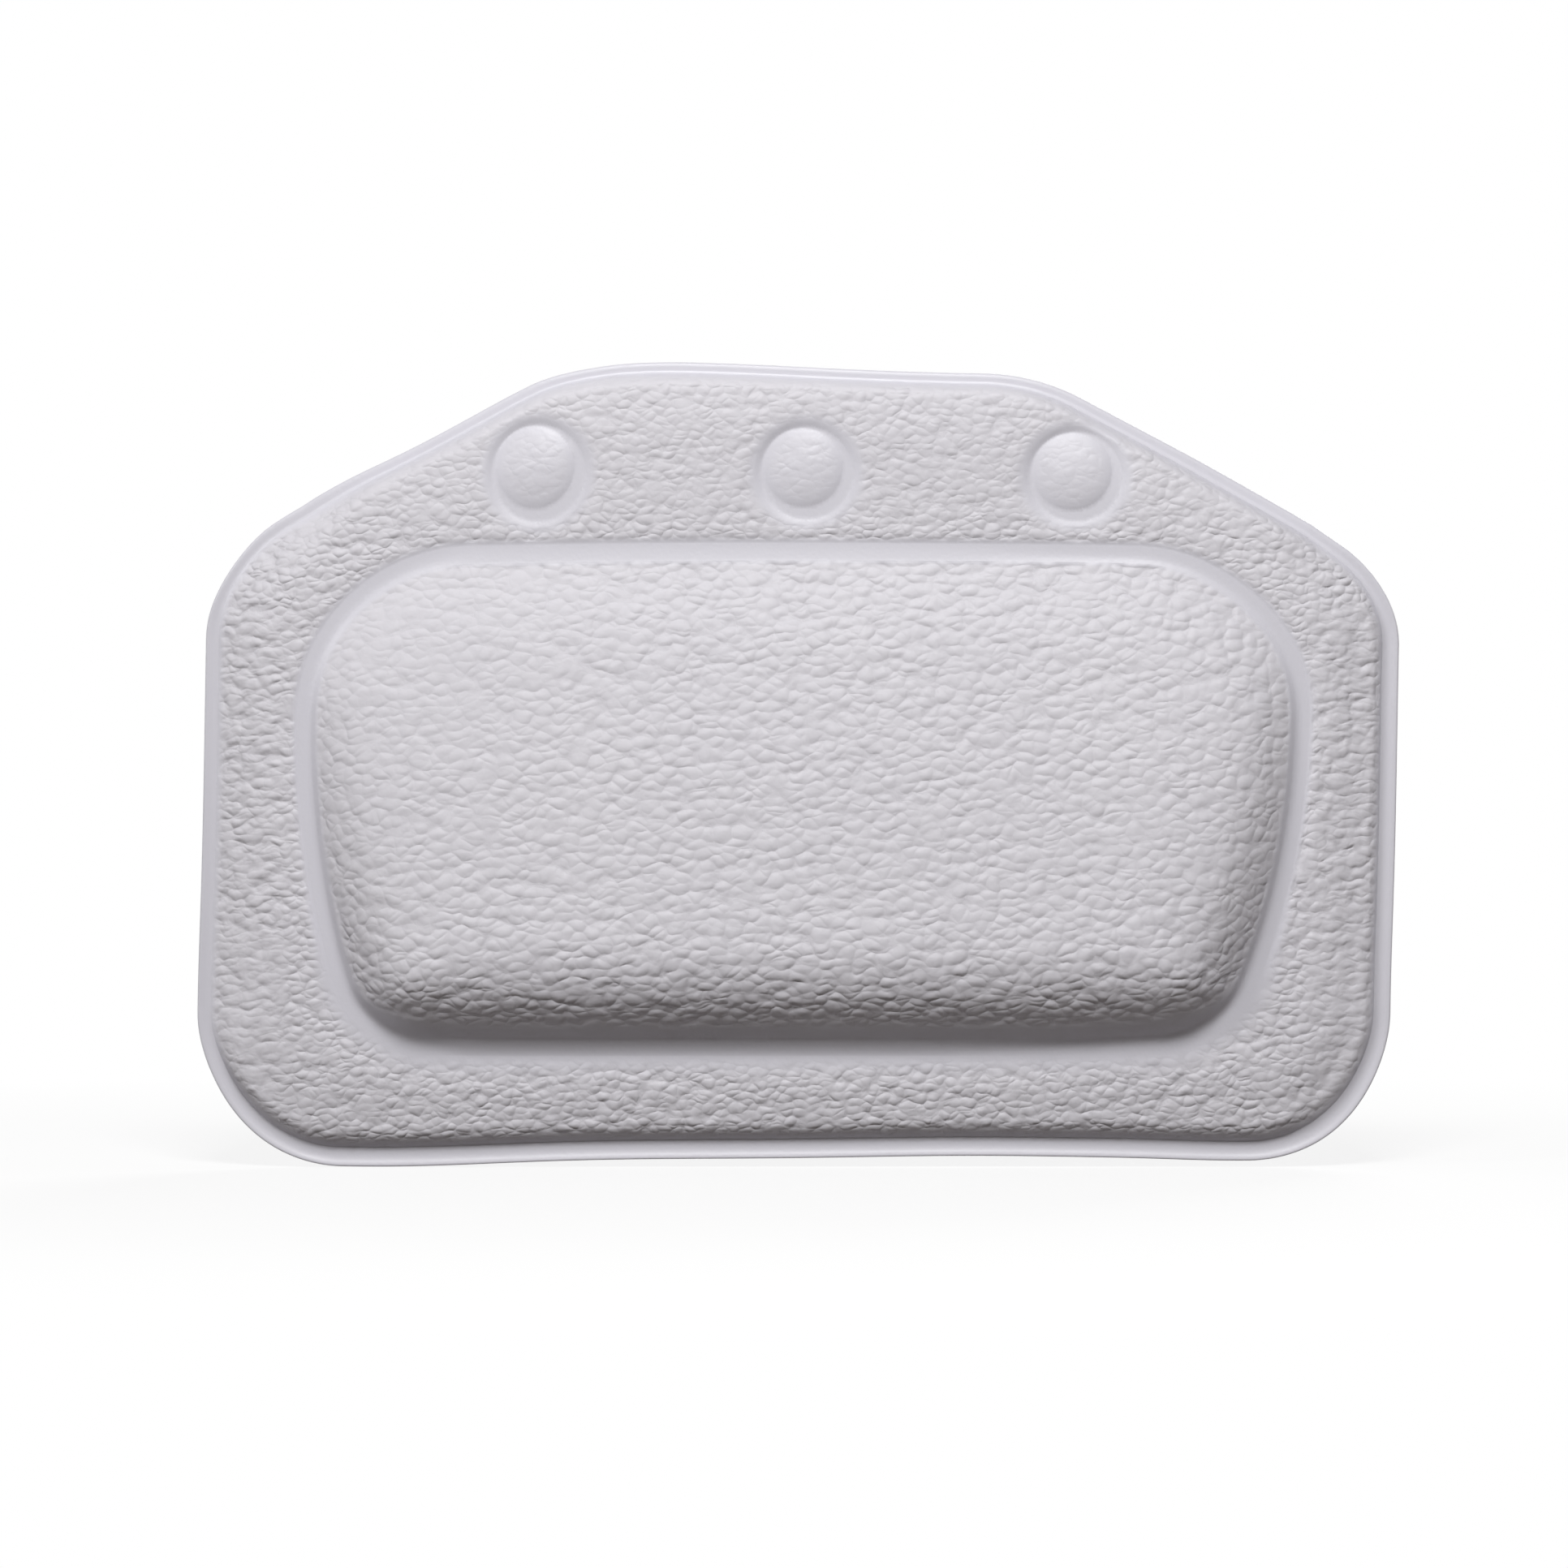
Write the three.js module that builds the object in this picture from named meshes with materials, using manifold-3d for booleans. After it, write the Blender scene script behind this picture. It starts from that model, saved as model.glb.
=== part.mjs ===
// Foam bath pillow: an embossed vinyl face and a plain vinyl back, welded together along a flange
// round the foam, with suction cups buttoned through eyelets in the back. The upper flap bends
// back over the tub's rim along the groove above the head cushion.
// Millimetres, +Z up. The bather is at -Y. The cup lips seat on the tub wall, the plane y = 0.
import * as THREE from "three";
import { mergeVertices } from "three/addons/utils/BufferGeometryUtils.js";
import Module from "manifold-3d";

const wasm = await Module();
wasm.setup();

// Outline of the welded sheets, with z = 0 on the row of flap cups
const WIDTH = 330;
const TOP = 29;
const BOTTOM = -191;
const TOP_EDGE = 128;
const SLOPE = THREE.MathUtils.degToRad(28.5);
const TOP_ROUND = 58;
const SHOULDER_ROUND = 35;
const BOTTOM_ROUND = 40;

// Centre line of the smooth band round the head cushion: four corners with bowed sides between
const BAND_HALF_WIDTH = 136.5;
const BAND_TOP = -22.5;
const BAND_BOTTOM = -161.5;
const BAND_TOP_ROUND = 45;
const BAND_SIDE_ROUND = 240;
const BAND_BOTTOM_ROUND = 26;
const BAND_WIDTH = 5;

// Sheets, the welded flange and the gap left between neighbouring pieces
const SHEET = 0.8;
const FLANGE = 4.1;
const GAP = 0.3;
const FOLD_GAP = 0.5;

// Border cushion, which sits a little high on the sheets: its edge is broad below and tight at the top
const PAD_SHIFT = new THREE.Vector2(-0.6, 1.1);
const PAD_EDGE_LOW = 20;
const PAD_EDGE_TOP = 7;
const PAD_TIGHT_FROM = -60;
const PAD_TIGHT_TO = -10;
const PAD_RISE = 6.6;
const PAD_ANGLES = [0, 30, 60].map(THREE.MathUtils.degToRad);

// Groove round the head cushion: a step down from the border, then the band climbs to the cushion's foot
const STEP_WIDTH = 3.5;
const STEP_DROP = 1.3;
const BAND_CLIMB = 2.2;
const BAND_CLIMB_MIDDLE = 0.9;

// Head cushion, a wedge that is low at the flap and high at the bottom
const CUSHION_RISE_TOP = 4;
const CUSHION_RISE_BOTTOM = 17.5;
const CUSHION_ROUND_TOP = 24;
const CUSHION_ROUND_BOTTOM = 31;
const CUSHION_FULLNESS = 2.5;
const CUSHION_INSETS = [0, 3, 7, 12, 19];
const CUSHION_SHRINKS = [0.84, 0.6];

// Buttons of the flap: a shallow dome in a pressed ring that sits a little low and to the right
const BUTTON_PITCH = 74.5;
const DOME_RADIUS = 11;
const DOME_RISE = 2.3;
const DOME_ANGLES = [0, 25, 55].map(THREE.MathUtils.degToRad);
const RING_RADIUS = 12.8;
const RING_FLARE = 1.8;
const RING_DEPTH = 1.2;
const RING_SHIFT = new THREE.Vector2(1, -1.4);

// Suction cups and the eyelets that hold their necks
const CUP_RADIUS = 19;
const CUP_LIP = 1.8;
const CUP_EDGE = 0.6;
const CUP_HOLLOW = 7.2;
const CUP_BELL = 8.6;
const CUP_DEPTH = 12;
const BOSS_RADIUS = 6.2;
const NECK_RADIUS = 4;
const NECK_CLEARANCE = 0.4;
const HEAD_RADIUS = 6.5;
const HEAD_RISE = 2.2;
const HEAD_CLEARANCE = 0.5;
const EYELET_RADIUS = 11;
const EYELET_THICKNESS = 1.2;
const CUSHION_CUP_X = 88;
const CUSHION_CUP_ROWS = { upper: -60, lower: -128 };

// Facets
const ARC_STEP = THREE.MathUtils.degToRad(16);
const FINE_ARC_STEPS = 24;
const BEARING_STEP_MIN = 0.02;
const TURNED_SEGMENTS = 20;
const CUT_MARGIN = 1;
const BIG = 1000;

// Depth of each layer in front of the tub wall
const EYELET_BACK = CUP_DEPTH + GAP;
const BACK_SHEET_BACK = EYELET_BACK + EYELET_THICKNESS + GAP;
const BACK_SHEET_FRONT = BACK_SHEET_BACK + SHEET;
const WELD = BACK_SHEET_FRONT + GAP;

// Heights of the face over the weld plane: border, groove, head cushion's foot and the buttons' rings
const PAD_TOP = SHEET + PAD_RISE;
const GROOVE = PAD_TOP - STEP_DROP;
const FOOT = GROOVE + BAND_CLIMB;
const RING_FLOOR = PAD_TOP - RING_DEPTH;

// Middle of the head cushion, and the distance from its foot in to there
const CENTRE_Z = (BAND_TOP + BAND_BOTTOM) / 2;
const CUSHION_REACH = (BAND_TOP - BAND_BOTTOM - BAND_WIDTH) / 2;

// Finishes
const faceVinyl = { color: 0xdedce2, roughness: 0.5, metalness: 0 };
const backVinyl = { color: 0xdad8de, roughness: 0.42, metalness: 0 };
const eyeletVinyl = { color: 0xd2d0d6, roughness: 0.4, metalness: 0 };
const clearVinyl = { color: 0xdce3e6, roughness: 0.18, metalness: 0 };
const foam = { color: 0xf1ecdc, roughness: 0.95, metalness: 0 };

// A point at x and z, raised off the weld plane towards the bather
function raised(x, rise, z) {
  return new THREE.Vector3(x, -(WELD + rise), z);
}

// The sheets' outline, moved inwards by inset and then by shift, with its six corners rounded
function outlinePath(inset, shift = new THREE.Vector2()) {
  const half = WIDTH / 2 - inset;
  const top = TOP - inset;
  const topHalf = TOP_EDGE / 2 - inset * Math.tan(SLOPE / 2);
  const shoulder = top - (half - topHalf) * Math.tan(SLOPE);
  const corners = [
    [topHalf, top, TOP_ROUND],
    [half, shoulder, SHOULDER_ROUND],
    [half, BOTTOM + inset, BOTTOM_ROUND],
    [-half, BOTTOM + inset, BOTTOM_ROUND],
    [-half, shoulder, SHOULDER_ROUND],
    [-topHalf, top, TOP_ROUND],
  ];
  const path = new THREE.Path();
  corners.forEach(([x, z, round], i) => {
    const corner = new THREE.Vector2(x, z);
    const before = new THREE.Vector2(...corners.at(i - 1)).sub(corner).normalize();
    const after = new THREE.Vector2(...corners[(i + 1) % corners.length]).sub(corner).normalize();
    const halfAngle = Math.acos(before.dot(after)) / 2;
    const radius = round - inset;
    const middle = before.clone().add(after).normalize();
    const centre = corner.clone().addScaledVector(middle, radius / Math.sin(halfAngle));
    const start = corner.clone().addScaledVector(before, radius / Math.tan(halfAngle)).sub(centre);
    const end = corner.clone().addScaledVector(after, radius / Math.tan(halfAngle)).sub(centre);
    centre.add(shift);
    path.absarc(centre.x, centre.y, radius, start.angle(), end.angle(), true);
  });
  path.closePath();
  return path;
}

// The band's centre line, moved inwards by inset: arcs tangent to each other, right side then left
function bandPath(inset) {
  const turn = Math.asin(
    (BAND_TOP - BAND_BOTTOM - BAND_TOP_ROUND - BAND_BOTTOM_ROUND) / (BAND_SIDE_ROUND - BAND_BOTTOM_ROUND),
  );
  const topX = BAND_HALF_WIDTH - BAND_TOP_ROUND;
  const topZ = BAND_TOP - BAND_TOP_ROUND;
  const sideX = BAND_HALF_WIDTH - BAND_SIDE_ROUND;
  const lowX = sideX + (BAND_SIDE_ROUND - BAND_BOTTOM_ROUND) * Math.cos(turn);
  const lowZ = BAND_BOTTOM + BAND_BOTTOM_ROUND;
  const path = new THREE.Path();
  path.absarc(topX, topZ, BAND_TOP_ROUND - inset, Math.PI / 2, 0, true);
  path.absarc(sideX, topZ, BAND_SIDE_ROUND - inset, 0, -turn, true);
  path.absarc(lowX, lowZ, BAND_BOTTOM_ROUND - inset, -turn, -Math.PI / 2, true);
  path.absarc(-lowX, lowZ, BAND_BOTTOM_ROUND - inset, -Math.PI / 2, turn - Math.PI, true);
  path.absarc(-sideX, topZ, BAND_SIDE_ROUND - inset, turn - Math.PI, -Math.PI, true);
  path.absarc(-topX, topZ, BAND_TOP_ROUND - inset, Math.PI, Math.PI / 2, true);
  path.closePath();
  return path;
}

// The bearings from the cushion's centre at which every loop has a point: the arcs of both outlines
function loopBearings() {
  const arcs = [...outlinePath(0).curves, ...bandPath(0).curves].filter((curve) => curve.isEllipseCurve);
  const points = arcs.flatMap((arc) => arc.getPoints(Math.ceil(arc.getLength() / arc.xRadius / ARC_STEP)));
  const all = points.map((p) => Math.atan2(p.y - CENTRE_Z, p.x)).sort((a, b) => a - b);
  return all.filter((bearing, i) => i === 0 || bearing - all[i - 1] > BEARING_STEP_MIN);
}
const bearings = loopBearings();

// The points where a path is met by a ray along each bearing
function loopOf(path) {
  const points = path.getPoints(FINE_ARC_STEPS).map((p) => new THREE.Vector2(p.x, p.y - CENTRE_Z));
  return bearings.map((bearing) => {
    const ray = new THREE.Vector2(Math.cos(bearing), Math.sin(bearing));
    for (let i = 0; i < points.length; i++) {
      const a = points[i];
      const b = points[(i + 1) % points.length];
      const sideA = ray.cross(a);
      const sideB = ray.cross(b);
      if (sideA * sideB <= 0 && sideA !== sideB) {
        const hit = a.clone().lerp(b, sideA / (sideA - sideB));
        if (hit.dot(ray) > 0) return new THREE.Vector2(hit.x, hit.y + CENTRE_Z);
      }
    }
    throw new Error("a loop is open at bearing " + bearing);
  });
}

// A loop lifted to one height above the weld plane
function lift(loop, rise) {
  return loop.map((p) => raised(p.x, rise, p.y));
}

// A closed solid through a stack of loops: joined end to end as a ring, or else capped at both ends,
// where crown is the height of the last cap's middle
function stackSolid(loops, { isRing = false, crown } = {}) {
  const count = loops[0].length;
  const points = loops.flat();
  const triangles = [];
  const bands = isRing ? loops.length : loops.length - 1;
  for (let k = 0; k < bands; k++) {
    const low = k * count;
    const high = ((k + 1) % loops.length) * count;
    for (let i = 0; i < count; i++) {
      const j = (i + 1) % count;
      triangles.push(low + i, low + j, high + j, low + i, high + j, high + i);
    }
  }
  if (!isRing) {
    const hubs = points.push(
      new THREE.Vector3(0, loops[0][0].y, CENTRE_Z),
      crown === undefined ? new THREE.Vector3(0, loops.at(-1)[0].y, CENTRE_Z) : raised(0, crown, CENTRE_Z),
    ) - 2;
    const last = (loops.length - 1) * count;
    for (let i = 0; i < count; i++) {
      const j = (i + 1) % count;
      triangles.push(hubs, j, i, hubs + 1, last + i, last + j);
    }
  }
  return solidOf(points.flatMap((p) => [p.x, p.y, p.z]), triangles);
}

// A manifold solid of raw points and triangles, turned to face outwards
function solidOf(positions, triangles) {
  const make = (triVerts) =>
    new wasm.Manifold(
      new wasm.Mesh({ numProp: 3, vertProperties: new Float32Array(positions), triVerts }),
    );
  const solid = make(new Uint32Array(triangles));
  return solid.volume() > 0 ? solid : make(new Uint32Array(triangles).reverse());
}

// A manifold solid of a closed three.js geometry
function solidFrom(geometry) {
  const bare = geometry.index ? geometry.toNonIndexed() : geometry.clone();
  bare.deleteAttribute("normal");
  bare.deleteAttribute("uv");
  const merged = mergeVertices(bare, 1e-4);
  return solidOf(Array.from(merged.attributes.position.array), Array.from(merged.index.array));
}

// A solid turned about the Y axis through x and z, from [radius, depth before the wall] pairs
function turned(profile, x = 0, z = 0) {
  const points = profile.map(([radius, depth]) => new THREE.Vector2(radius, -depth));
  return solidFrom(new THREE.LatheGeometry(points, TURNED_SEGMENTS).translate(x, 0, z));
}

// A round plug through x and z between two depths
function plug(radius, from, to, x = 0, z = 0) {
  return turned([[0, from], [radius, from], [radius, to], [0, to]], x, z);
}

// The named mesh of a solid
function piece(name, solid, finish) {
  const { vertProperties, triVerts } = solid.getMesh();
  const geometry = new THREE.BufferGeometry();
  geometry.setAttribute("position", new THREE.BufferAttribute(vertProperties, 3));
  geometry.setIndex(new THREE.BufferAttribute(triVerts, 1));
  geometry.computeVertexNormals();
  const mesh = new THREE.Mesh(geometry, new THREE.MeshStandardMaterial(finish));
  mesh.name = name;
  return mesh;
}

// A block that holds everything above the fold line (side 1) or below it (side -1)
function foldBlock(side) {
  const middle = BAND_TOP + side * (BIG / 2 + FOLD_GAP / 2);
  return solidFrom(new THREE.BoxGeometry(BIG, BIG, BIG).translate(0, 0, middle));
}
const flapBlock = foldBlock(1);
const cushionBlock = foldBlock(-1);

// Height of the head cushion over the weld plane at one z, by distance in from its foot
function cushionHeight(inset, z) {
  const down = (BAND_TOP - BAND_WIDTH / 2 - z) / (2 * CUSHION_REACH);
  const rise = THREE.MathUtils.lerp(CUSHION_RISE_TOP, CUSHION_RISE_BOTTOM, down);
  const round = THREE.MathUtils.lerp(CUSHION_ROUND_TOP, CUSHION_ROUND_BOTTOM, down);
  return FOOT + rise * (1 - Math.pow(1 - Math.min(inset / round, 1), CUSHION_FULLNESS));
}
const CROWN = cushionHeight(CUSHION_REACH, CENTRE_Z);

// The line of points at one angle up the border cushion's rounded edge, shrunk by off
function rimLoop(angle, off) {
  const [low, top] = [PAD_EDGE_LOW, PAD_EDGE_TOP].map((edge) =>
    loopOf(outlinePath(FLANGE + edge * (1 - Math.cos(angle)) + off, PAD_SHIFT)),
  );
  return low.map((p, i) => p.lerp(top[i], THREE.MathUtils.smoothstep(p.y, PAD_TIGHT_FROM, PAD_TIGHT_TO)));
}

// Loops over the border cushion, from the flange in to the groove, shrunk by off on every side
function padLoops(off, floor) {
  const rim = PAD_ANGLES.map((angle) => rimLoop(angle, off));
  const crest = loopOf(bandPath(-BAND_WIDTH / 2 - STEP_WIDTH));
  const ridge = rim.at(-1).map((p, i) => p.clone().lerp(crest[i], 0.45));
  return [
    ...rim.map((loop, i) => lift(loop, Math.max(SHEET + PAD_RISE * Math.sin(PAD_ANGLES[i]) - off, floor))),
    lift(ridge, PAD_TOP - off),
    lift(crest, PAD_TOP - off),
    lift(loopOf(bandPath(-BAND_WIDTH / 2)), GROOVE - off),
  ];
}

// Loops over the head cushion, from its foot to its crown, shrunk by off on every side
function cushionLoops(off) {
  const place = (p, inset) => raised(p.x, cushionHeight(inset, p.y) - off, p.y);
  const foot = BAND_WIDTH / 2 + off;
  const steep = CUSHION_INSETS.map((inset) => loopOf(bandPath(foot + inset)).map((p) => place(p, inset)));
  const last = CUSHION_INSETS.at(-1);
  const inner = loopOf(bandPath(foot + last));
  const centre = new THREE.Vector2(0, CENTRE_Z);
  const crown = CUSHION_SHRINKS.map((share) => {
    const inset = last + (CUSHION_REACH - last) * (1 - share);
    return inner.map((p) => place(centre.clone().lerp(p, share), inset));
  });
  return [...steep, ...crown];
}

// The wall where the two foams meet under the middle of the band, from the face down to a floor
function meetingLoops(inset, off, floor) {
  const wall = loopOf(bandPath(inset));
  return [lift(wall, GROOVE + BAND_CLIMB_MIDDLE - off), lift(wall, floor)];
}

// Where each cup sits: on the flap, at its buttons, and behind the head cushion
const buttons = ["left", "middle", "right"].map((side, i) => {
  return { name: "flap_" + side, foamName: "dome_foam_" + side, x: (i - 1) * BUTTON_PITCH, z: 0 };
});
const cushionCups = Object.entries(CUSHION_CUP_ROWS).flatMap(([row, z]) => [
  { name: row + "_left", x: -CUSHION_CUP_X, z },
  { name: row + "_right", x: CUSHION_CUP_X, z },
]);

// A button's dome shrunk by off, from a base above the weld plane up to its round top
function dome({ x, z }, off, base) {
  const radius = DOME_RADIUS - off;
  const floor = RING_FLOOR - off;
  const shell = DOME_ANGLES.map((angle) => {
    return [radius * Math.cos(angle), WELD + floor + DOME_RISE * Math.sin(angle)];
  });
  const top = WELD + floor + DOME_RISE;
  return turned([[0, WELD + base], [radius, WELD + base], ...shell, [0, top]], x, z);
}

// The pressed ring round a button, widened and sunk by off
function ringCut({ x, z }, off) {
  const floor = RING_FLOOR - off;
  const top = PAD_TOP + CUT_MARGIN;
  const foot = RING_RADIUS + off;
  const lip = foot + RING_FLARE;
  const profile = [[0, WELD + floor], [foot, WELD + floor], [lip, WELD + top], [0, WELD + top]];
  return turned(profile, x + RING_SHIFT.x, z + RING_SHIFT.y);
}

// The embossed face: one formed sheet, hollow behind the cushions and domes
function faceSheet() {
  const edge = loopOf(outlinePath(0));
  let outside = stackSolid(
    [lift(edge, 0), lift(edge, SHEET), ...padLoops(0, 0), ...cushionLoops(0)],
    { crown: CROWN },
  );
  const mouth = lift(rimLoop(0, SHEET), -CUT_MARGIN);
  let inside = stackSolid([mouth, ...padLoops(SHEET, 0), ...cushionLoops(SHEET)], { crown: CROWN - SHEET });
  for (const button of buttons) {
    outside = outside.subtract(ringCut(button, 0)).add(dome(button, 0, RING_FLOOR - SHEET));
    inside = inside.subtract(ringCut(button, SHEET)).add(dome(button, SHEET, RING_FLOOR - 2 * SHEET));
  }
  return outside.subtract(inside);
}

// The hole that a cup's neck turns in, through the back sheet and its eyelet
function neckHole(x = 0, z = 0) {
  return plug(NECK_RADIUS + NECK_CLEARANCE, EYELET_BACK - CUT_MARGIN, BACK_SHEET_FRONT + CUT_MARGIN, x, z);
}

// The plain back: one flat sheet with a hole for each cup's neck
function backSheet() {
  const edge = loopOf(outlinePath(0));
  return [...buttons, ...cushionCups].reduce(
    (solid, { x, z }) => solid.subtract(neckHole(x, z)),
    stackSolid([lift(edge, BACK_SHEET_BACK - WELD), lift(edge, BACK_SHEET_FRONT - WELD)]),
  );
}

// The thin foam of the border and the flap, with a hole for the foam disc of each button
function borderFoam() {
  const off = SHEET + GAP;
  const hole = DOME_RADIUS - SHEET;
  return buttons.reduce(
    (solid, button) =>
      solid.subtract(ringCut(button, off)).subtract(plug(hole, WELD, WELD + PAD_TOP, button.x, button.z)),
    stackSolid([...padLoops(off, GAP), ...meetingLoops(-GAP / 2, off, GAP)], { isRing: true }),
  );
}

// The room that a cup's head needs in the foam in front of it
function headPocket({ x, z }) {
  const radius = HEAD_RADIUS + HEAD_CLEARANCE;
  return plug(radius, WELD - CUT_MARGIN, WELD + HEAD_RISE + HEAD_CLEARANCE, x, z);
}

// The thick foam of the head cushion, with a pocket for the head of each cup behind it
function cushionFoam() {
  const off = SHEET + GAP;
  return cushionCups.reduce(
    (solid, place) => solid.subtract(headPocket(place)),
    stackSolid([...meetingLoops(GAP / 2, off, GAP).reverse(), ...cushionLoops(off)], { crown: CROWN - off }),
  );
}

// The foam disc inside a button's dome, resting over its cup's head
function domeFoam(button) {
  return dome(button, SHEET + GAP, GAP).subtract(headPocket(button));
}

// Points along a shallow round cap, from its middle out to the rim or to a smaller radius
function capArc(rimRadius, rise, steps, innerRadius = 0) {
  const sphere = (rimRadius ** 2 + rise ** 2) / (2 * rise);
  const from = Math.asin(innerRadius / sphere);
  const to = Math.asin(rimRadius / sphere);
  return Array.from({ length: steps + 1 }, (_, i) => {
    const angle = from + ((to - from) * i) / steps;
    return [sphere * Math.sin(angle), sphere * Math.cos(angle) - sphere + rise];
  });
}

// A suction cup turned about its own axis: hollow bell, flat lip, boss, neck and mushroom head
function suctionCup() {
  const hollow = capArc(CUP_RADIUS - CUP_LIP, CUP_HOLLOW, 4);
  const bell = capArc(CUP_RADIUS, CUP_BELL, 4, BOSS_RADIUS);
  const head = [0, 1, 2].map((step) => {
    const angle = (step * Math.PI) / 6;
    return [HEAD_RADIUS * Math.cos(angle), WELD + HEAD_RISE * Math.sin(angle)];
  });
  return turned([
    ...hollow,
    [CUP_RADIUS, 0],
    ...bell.reverse().map(([radius, rise]) => [radius, CUP_EDGE + rise]),
    [BOSS_RADIUS, CUP_DEPTH],
    [NECK_RADIUS, CUP_DEPTH],
    [NECK_RADIUS, WELD],
    ...head,
    [0, WELD + HEAD_RISE],
  ]);
}

// A washer welded on the back sheet to spread the pull of a cup's neck
function eyelet() {
  return plug(EYELET_RADIUS, EYELET_BACK, EYELET_BACK + EYELET_THICKNESS).subtract(neckHole());
}

// A cup and its eyelet, hung on the part that carries them
function hangCup(carrier, { name, x, z }) {
  const cup = piece("cup_" + name, suctionCup(), clearVinyl);
  const washer = piece("eyelet_" + name, eyelet(), eyeletVinyl);
  cup.position.set(x, 0, z);
  washer.position.set(x, 0, z);
  carrier.add(cup, washer);
}

const pillow = new THREE.Group();
const headCushion = new THREE.Group();
const flap = new THREE.Group();
pillow.add(headCushion, flap);

const face = faceSheet();
const back = backSheet();
const border = borderFoam();
headCushion.add(
  piece("cushion_face_sheet", face.intersect(cushionBlock), faceVinyl),
  piece("cushion_back_sheet", back.intersect(cushionBlock), backVinyl),
  piece("border_foam", border.intersect(cushionBlock), foam),
  piece("cushion_foam", cushionFoam().intersect(cushionBlock), foam),
);
flap.add(
  piece("flap_face_sheet", face.intersect(flapBlock), faceVinyl),
  piece("flap_back_sheet", back.intersect(flapBlock), backVinyl),
  piece("flap_foam", border.intersect(flapBlock), foam),
);
for (const button of buttons) {
  flap.add(piece(button.foamName, domeFoam(button), foam));
  hangCup(flap, button);
}
for (const place of cushionCups) hangCup(headCushion, place);

export default pillow;
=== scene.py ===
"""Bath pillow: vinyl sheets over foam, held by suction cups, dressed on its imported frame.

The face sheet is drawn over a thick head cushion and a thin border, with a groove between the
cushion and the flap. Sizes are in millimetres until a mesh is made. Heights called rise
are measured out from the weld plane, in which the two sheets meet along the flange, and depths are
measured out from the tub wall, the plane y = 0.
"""

import logging
import math
from dataclasses import dataclass
from enum import Enum

import bmesh
import bpy
import numpy as np
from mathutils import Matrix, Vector, geometry


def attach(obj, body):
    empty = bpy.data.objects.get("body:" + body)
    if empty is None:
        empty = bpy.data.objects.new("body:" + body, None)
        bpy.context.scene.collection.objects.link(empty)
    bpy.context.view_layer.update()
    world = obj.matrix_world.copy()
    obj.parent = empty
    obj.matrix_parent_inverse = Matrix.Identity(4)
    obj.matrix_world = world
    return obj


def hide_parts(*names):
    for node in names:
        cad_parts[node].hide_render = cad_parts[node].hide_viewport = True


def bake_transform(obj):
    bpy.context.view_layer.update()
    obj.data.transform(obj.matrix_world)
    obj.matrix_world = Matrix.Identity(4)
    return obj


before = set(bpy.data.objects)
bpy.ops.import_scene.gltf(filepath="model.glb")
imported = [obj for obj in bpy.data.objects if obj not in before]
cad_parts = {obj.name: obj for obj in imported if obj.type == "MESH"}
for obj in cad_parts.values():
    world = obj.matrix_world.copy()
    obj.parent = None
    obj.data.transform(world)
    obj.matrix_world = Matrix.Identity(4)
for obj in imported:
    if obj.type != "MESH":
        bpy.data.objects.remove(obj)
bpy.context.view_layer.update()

# Short names for type hints.
Array = np.ndarray
Pair = tuple[float, float]
Sizes = tuple[float, ...]
Colour = tuple[float, float, float, float]
Piece = bpy.types.Object
Material = bpy.types.Material
Socket = bpy.types.NodeSocket

LOG = logging.getLogger("bath_pillow")
MM = 0.001
# Sizes that several pieces share.
WELD_DEPTH = 14.9
NECK_HOLE = 4.4
WASHER_RADIUS = 11.0
# Steps and limits of the sums: degrees, rows, millimetres and square millimetres.
SUPPORT_TURN = 0.75
SAMPLE_TURN = 0.5
ROWS_AT_ONCE = 4000
NEAR = 1e-6
MERGE = 1e-4
SLIVER = 0.002
WALL_SAMPLES = 4000


class Body(Enum):
    """The CAD bodies that carry the soft pieces."""

    CUSHION = "cushion"
    FLAP = "flap"


class CupPlace(Enum):
    """Where a suction cup sits: the ending of its name, x, z and the body that carries it."""

    FLAP_LEFT = ("flap_left", -74.5, 0.0, Body.FLAP)
    FLAP_MIDDLE = ("flap_middle", 0.0, 0.0, Body.FLAP)
    FLAP_RIGHT = ("flap_right", 74.5, 0.0, Body.FLAP)
    UPPER_LEFT = ("upper_left", -88.0, -60.0, Body.CUSHION)
    UPPER_RIGHT = ("upper_right", 88.0, -60.0, Body.CUSHION)
    LOWER_LEFT = ("lower_left", -88.0, -128.0, Body.CUSHION)
    LOWER_RIGHT = ("lower_right", 88.0, -128.0, Body.CUSHION)

    @property
    def ending(self) -> str:
        """The ending of the names of this place's cup and washer."""
        return self.value[0]

    @property
    def centre(self) -> Array:
        """The cup's axis in the plane of the wall."""
        return np.array(self.value[1:3])

    @property
    def carrier(self) -> Body:
        """The body whose back sheet holds this cup."""
        return self.value[3]


FLAP_CUPS = tuple(place for place in CupPlace if place.carrier is Body.FLAP)
CUSHION_CUPS = tuple(place for place in CupPlace if place.carrier is Body.CUSHION)
DOME_DRIFT = {CupPlace.FLAP_MIDDLE: (-0.5, 0.7), CupPlace.FLAP_RIGHT: (-0.7, 1.0)}


def smooth_step(low: float, high: float, value: Array) -> Array:
    """Eases each value from 0 at low to 1 at high, and holds it beyond them."""
    share = np.clip((value - low) / (high - low), 0.0, 1.0)
    return share * share * (3.0 - 2.0 * share)


def distance_from(points: Array, centre: Array) -> Array:
    """Distances of rows of x and z from a centre, in the plane of the wall."""
    return np.linalg.norm(points - centre, axis=1)


@dataclass(frozen=True)
class Zone:
    """A stretch of x or z over which something comes in."""

    start: float
    full: float

    def share(self, value: Array) -> Array:
        """How far in each value is: 0 before the stretch and 1 beyond it."""
        return smooth_step(self.start, self.full, value)


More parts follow.
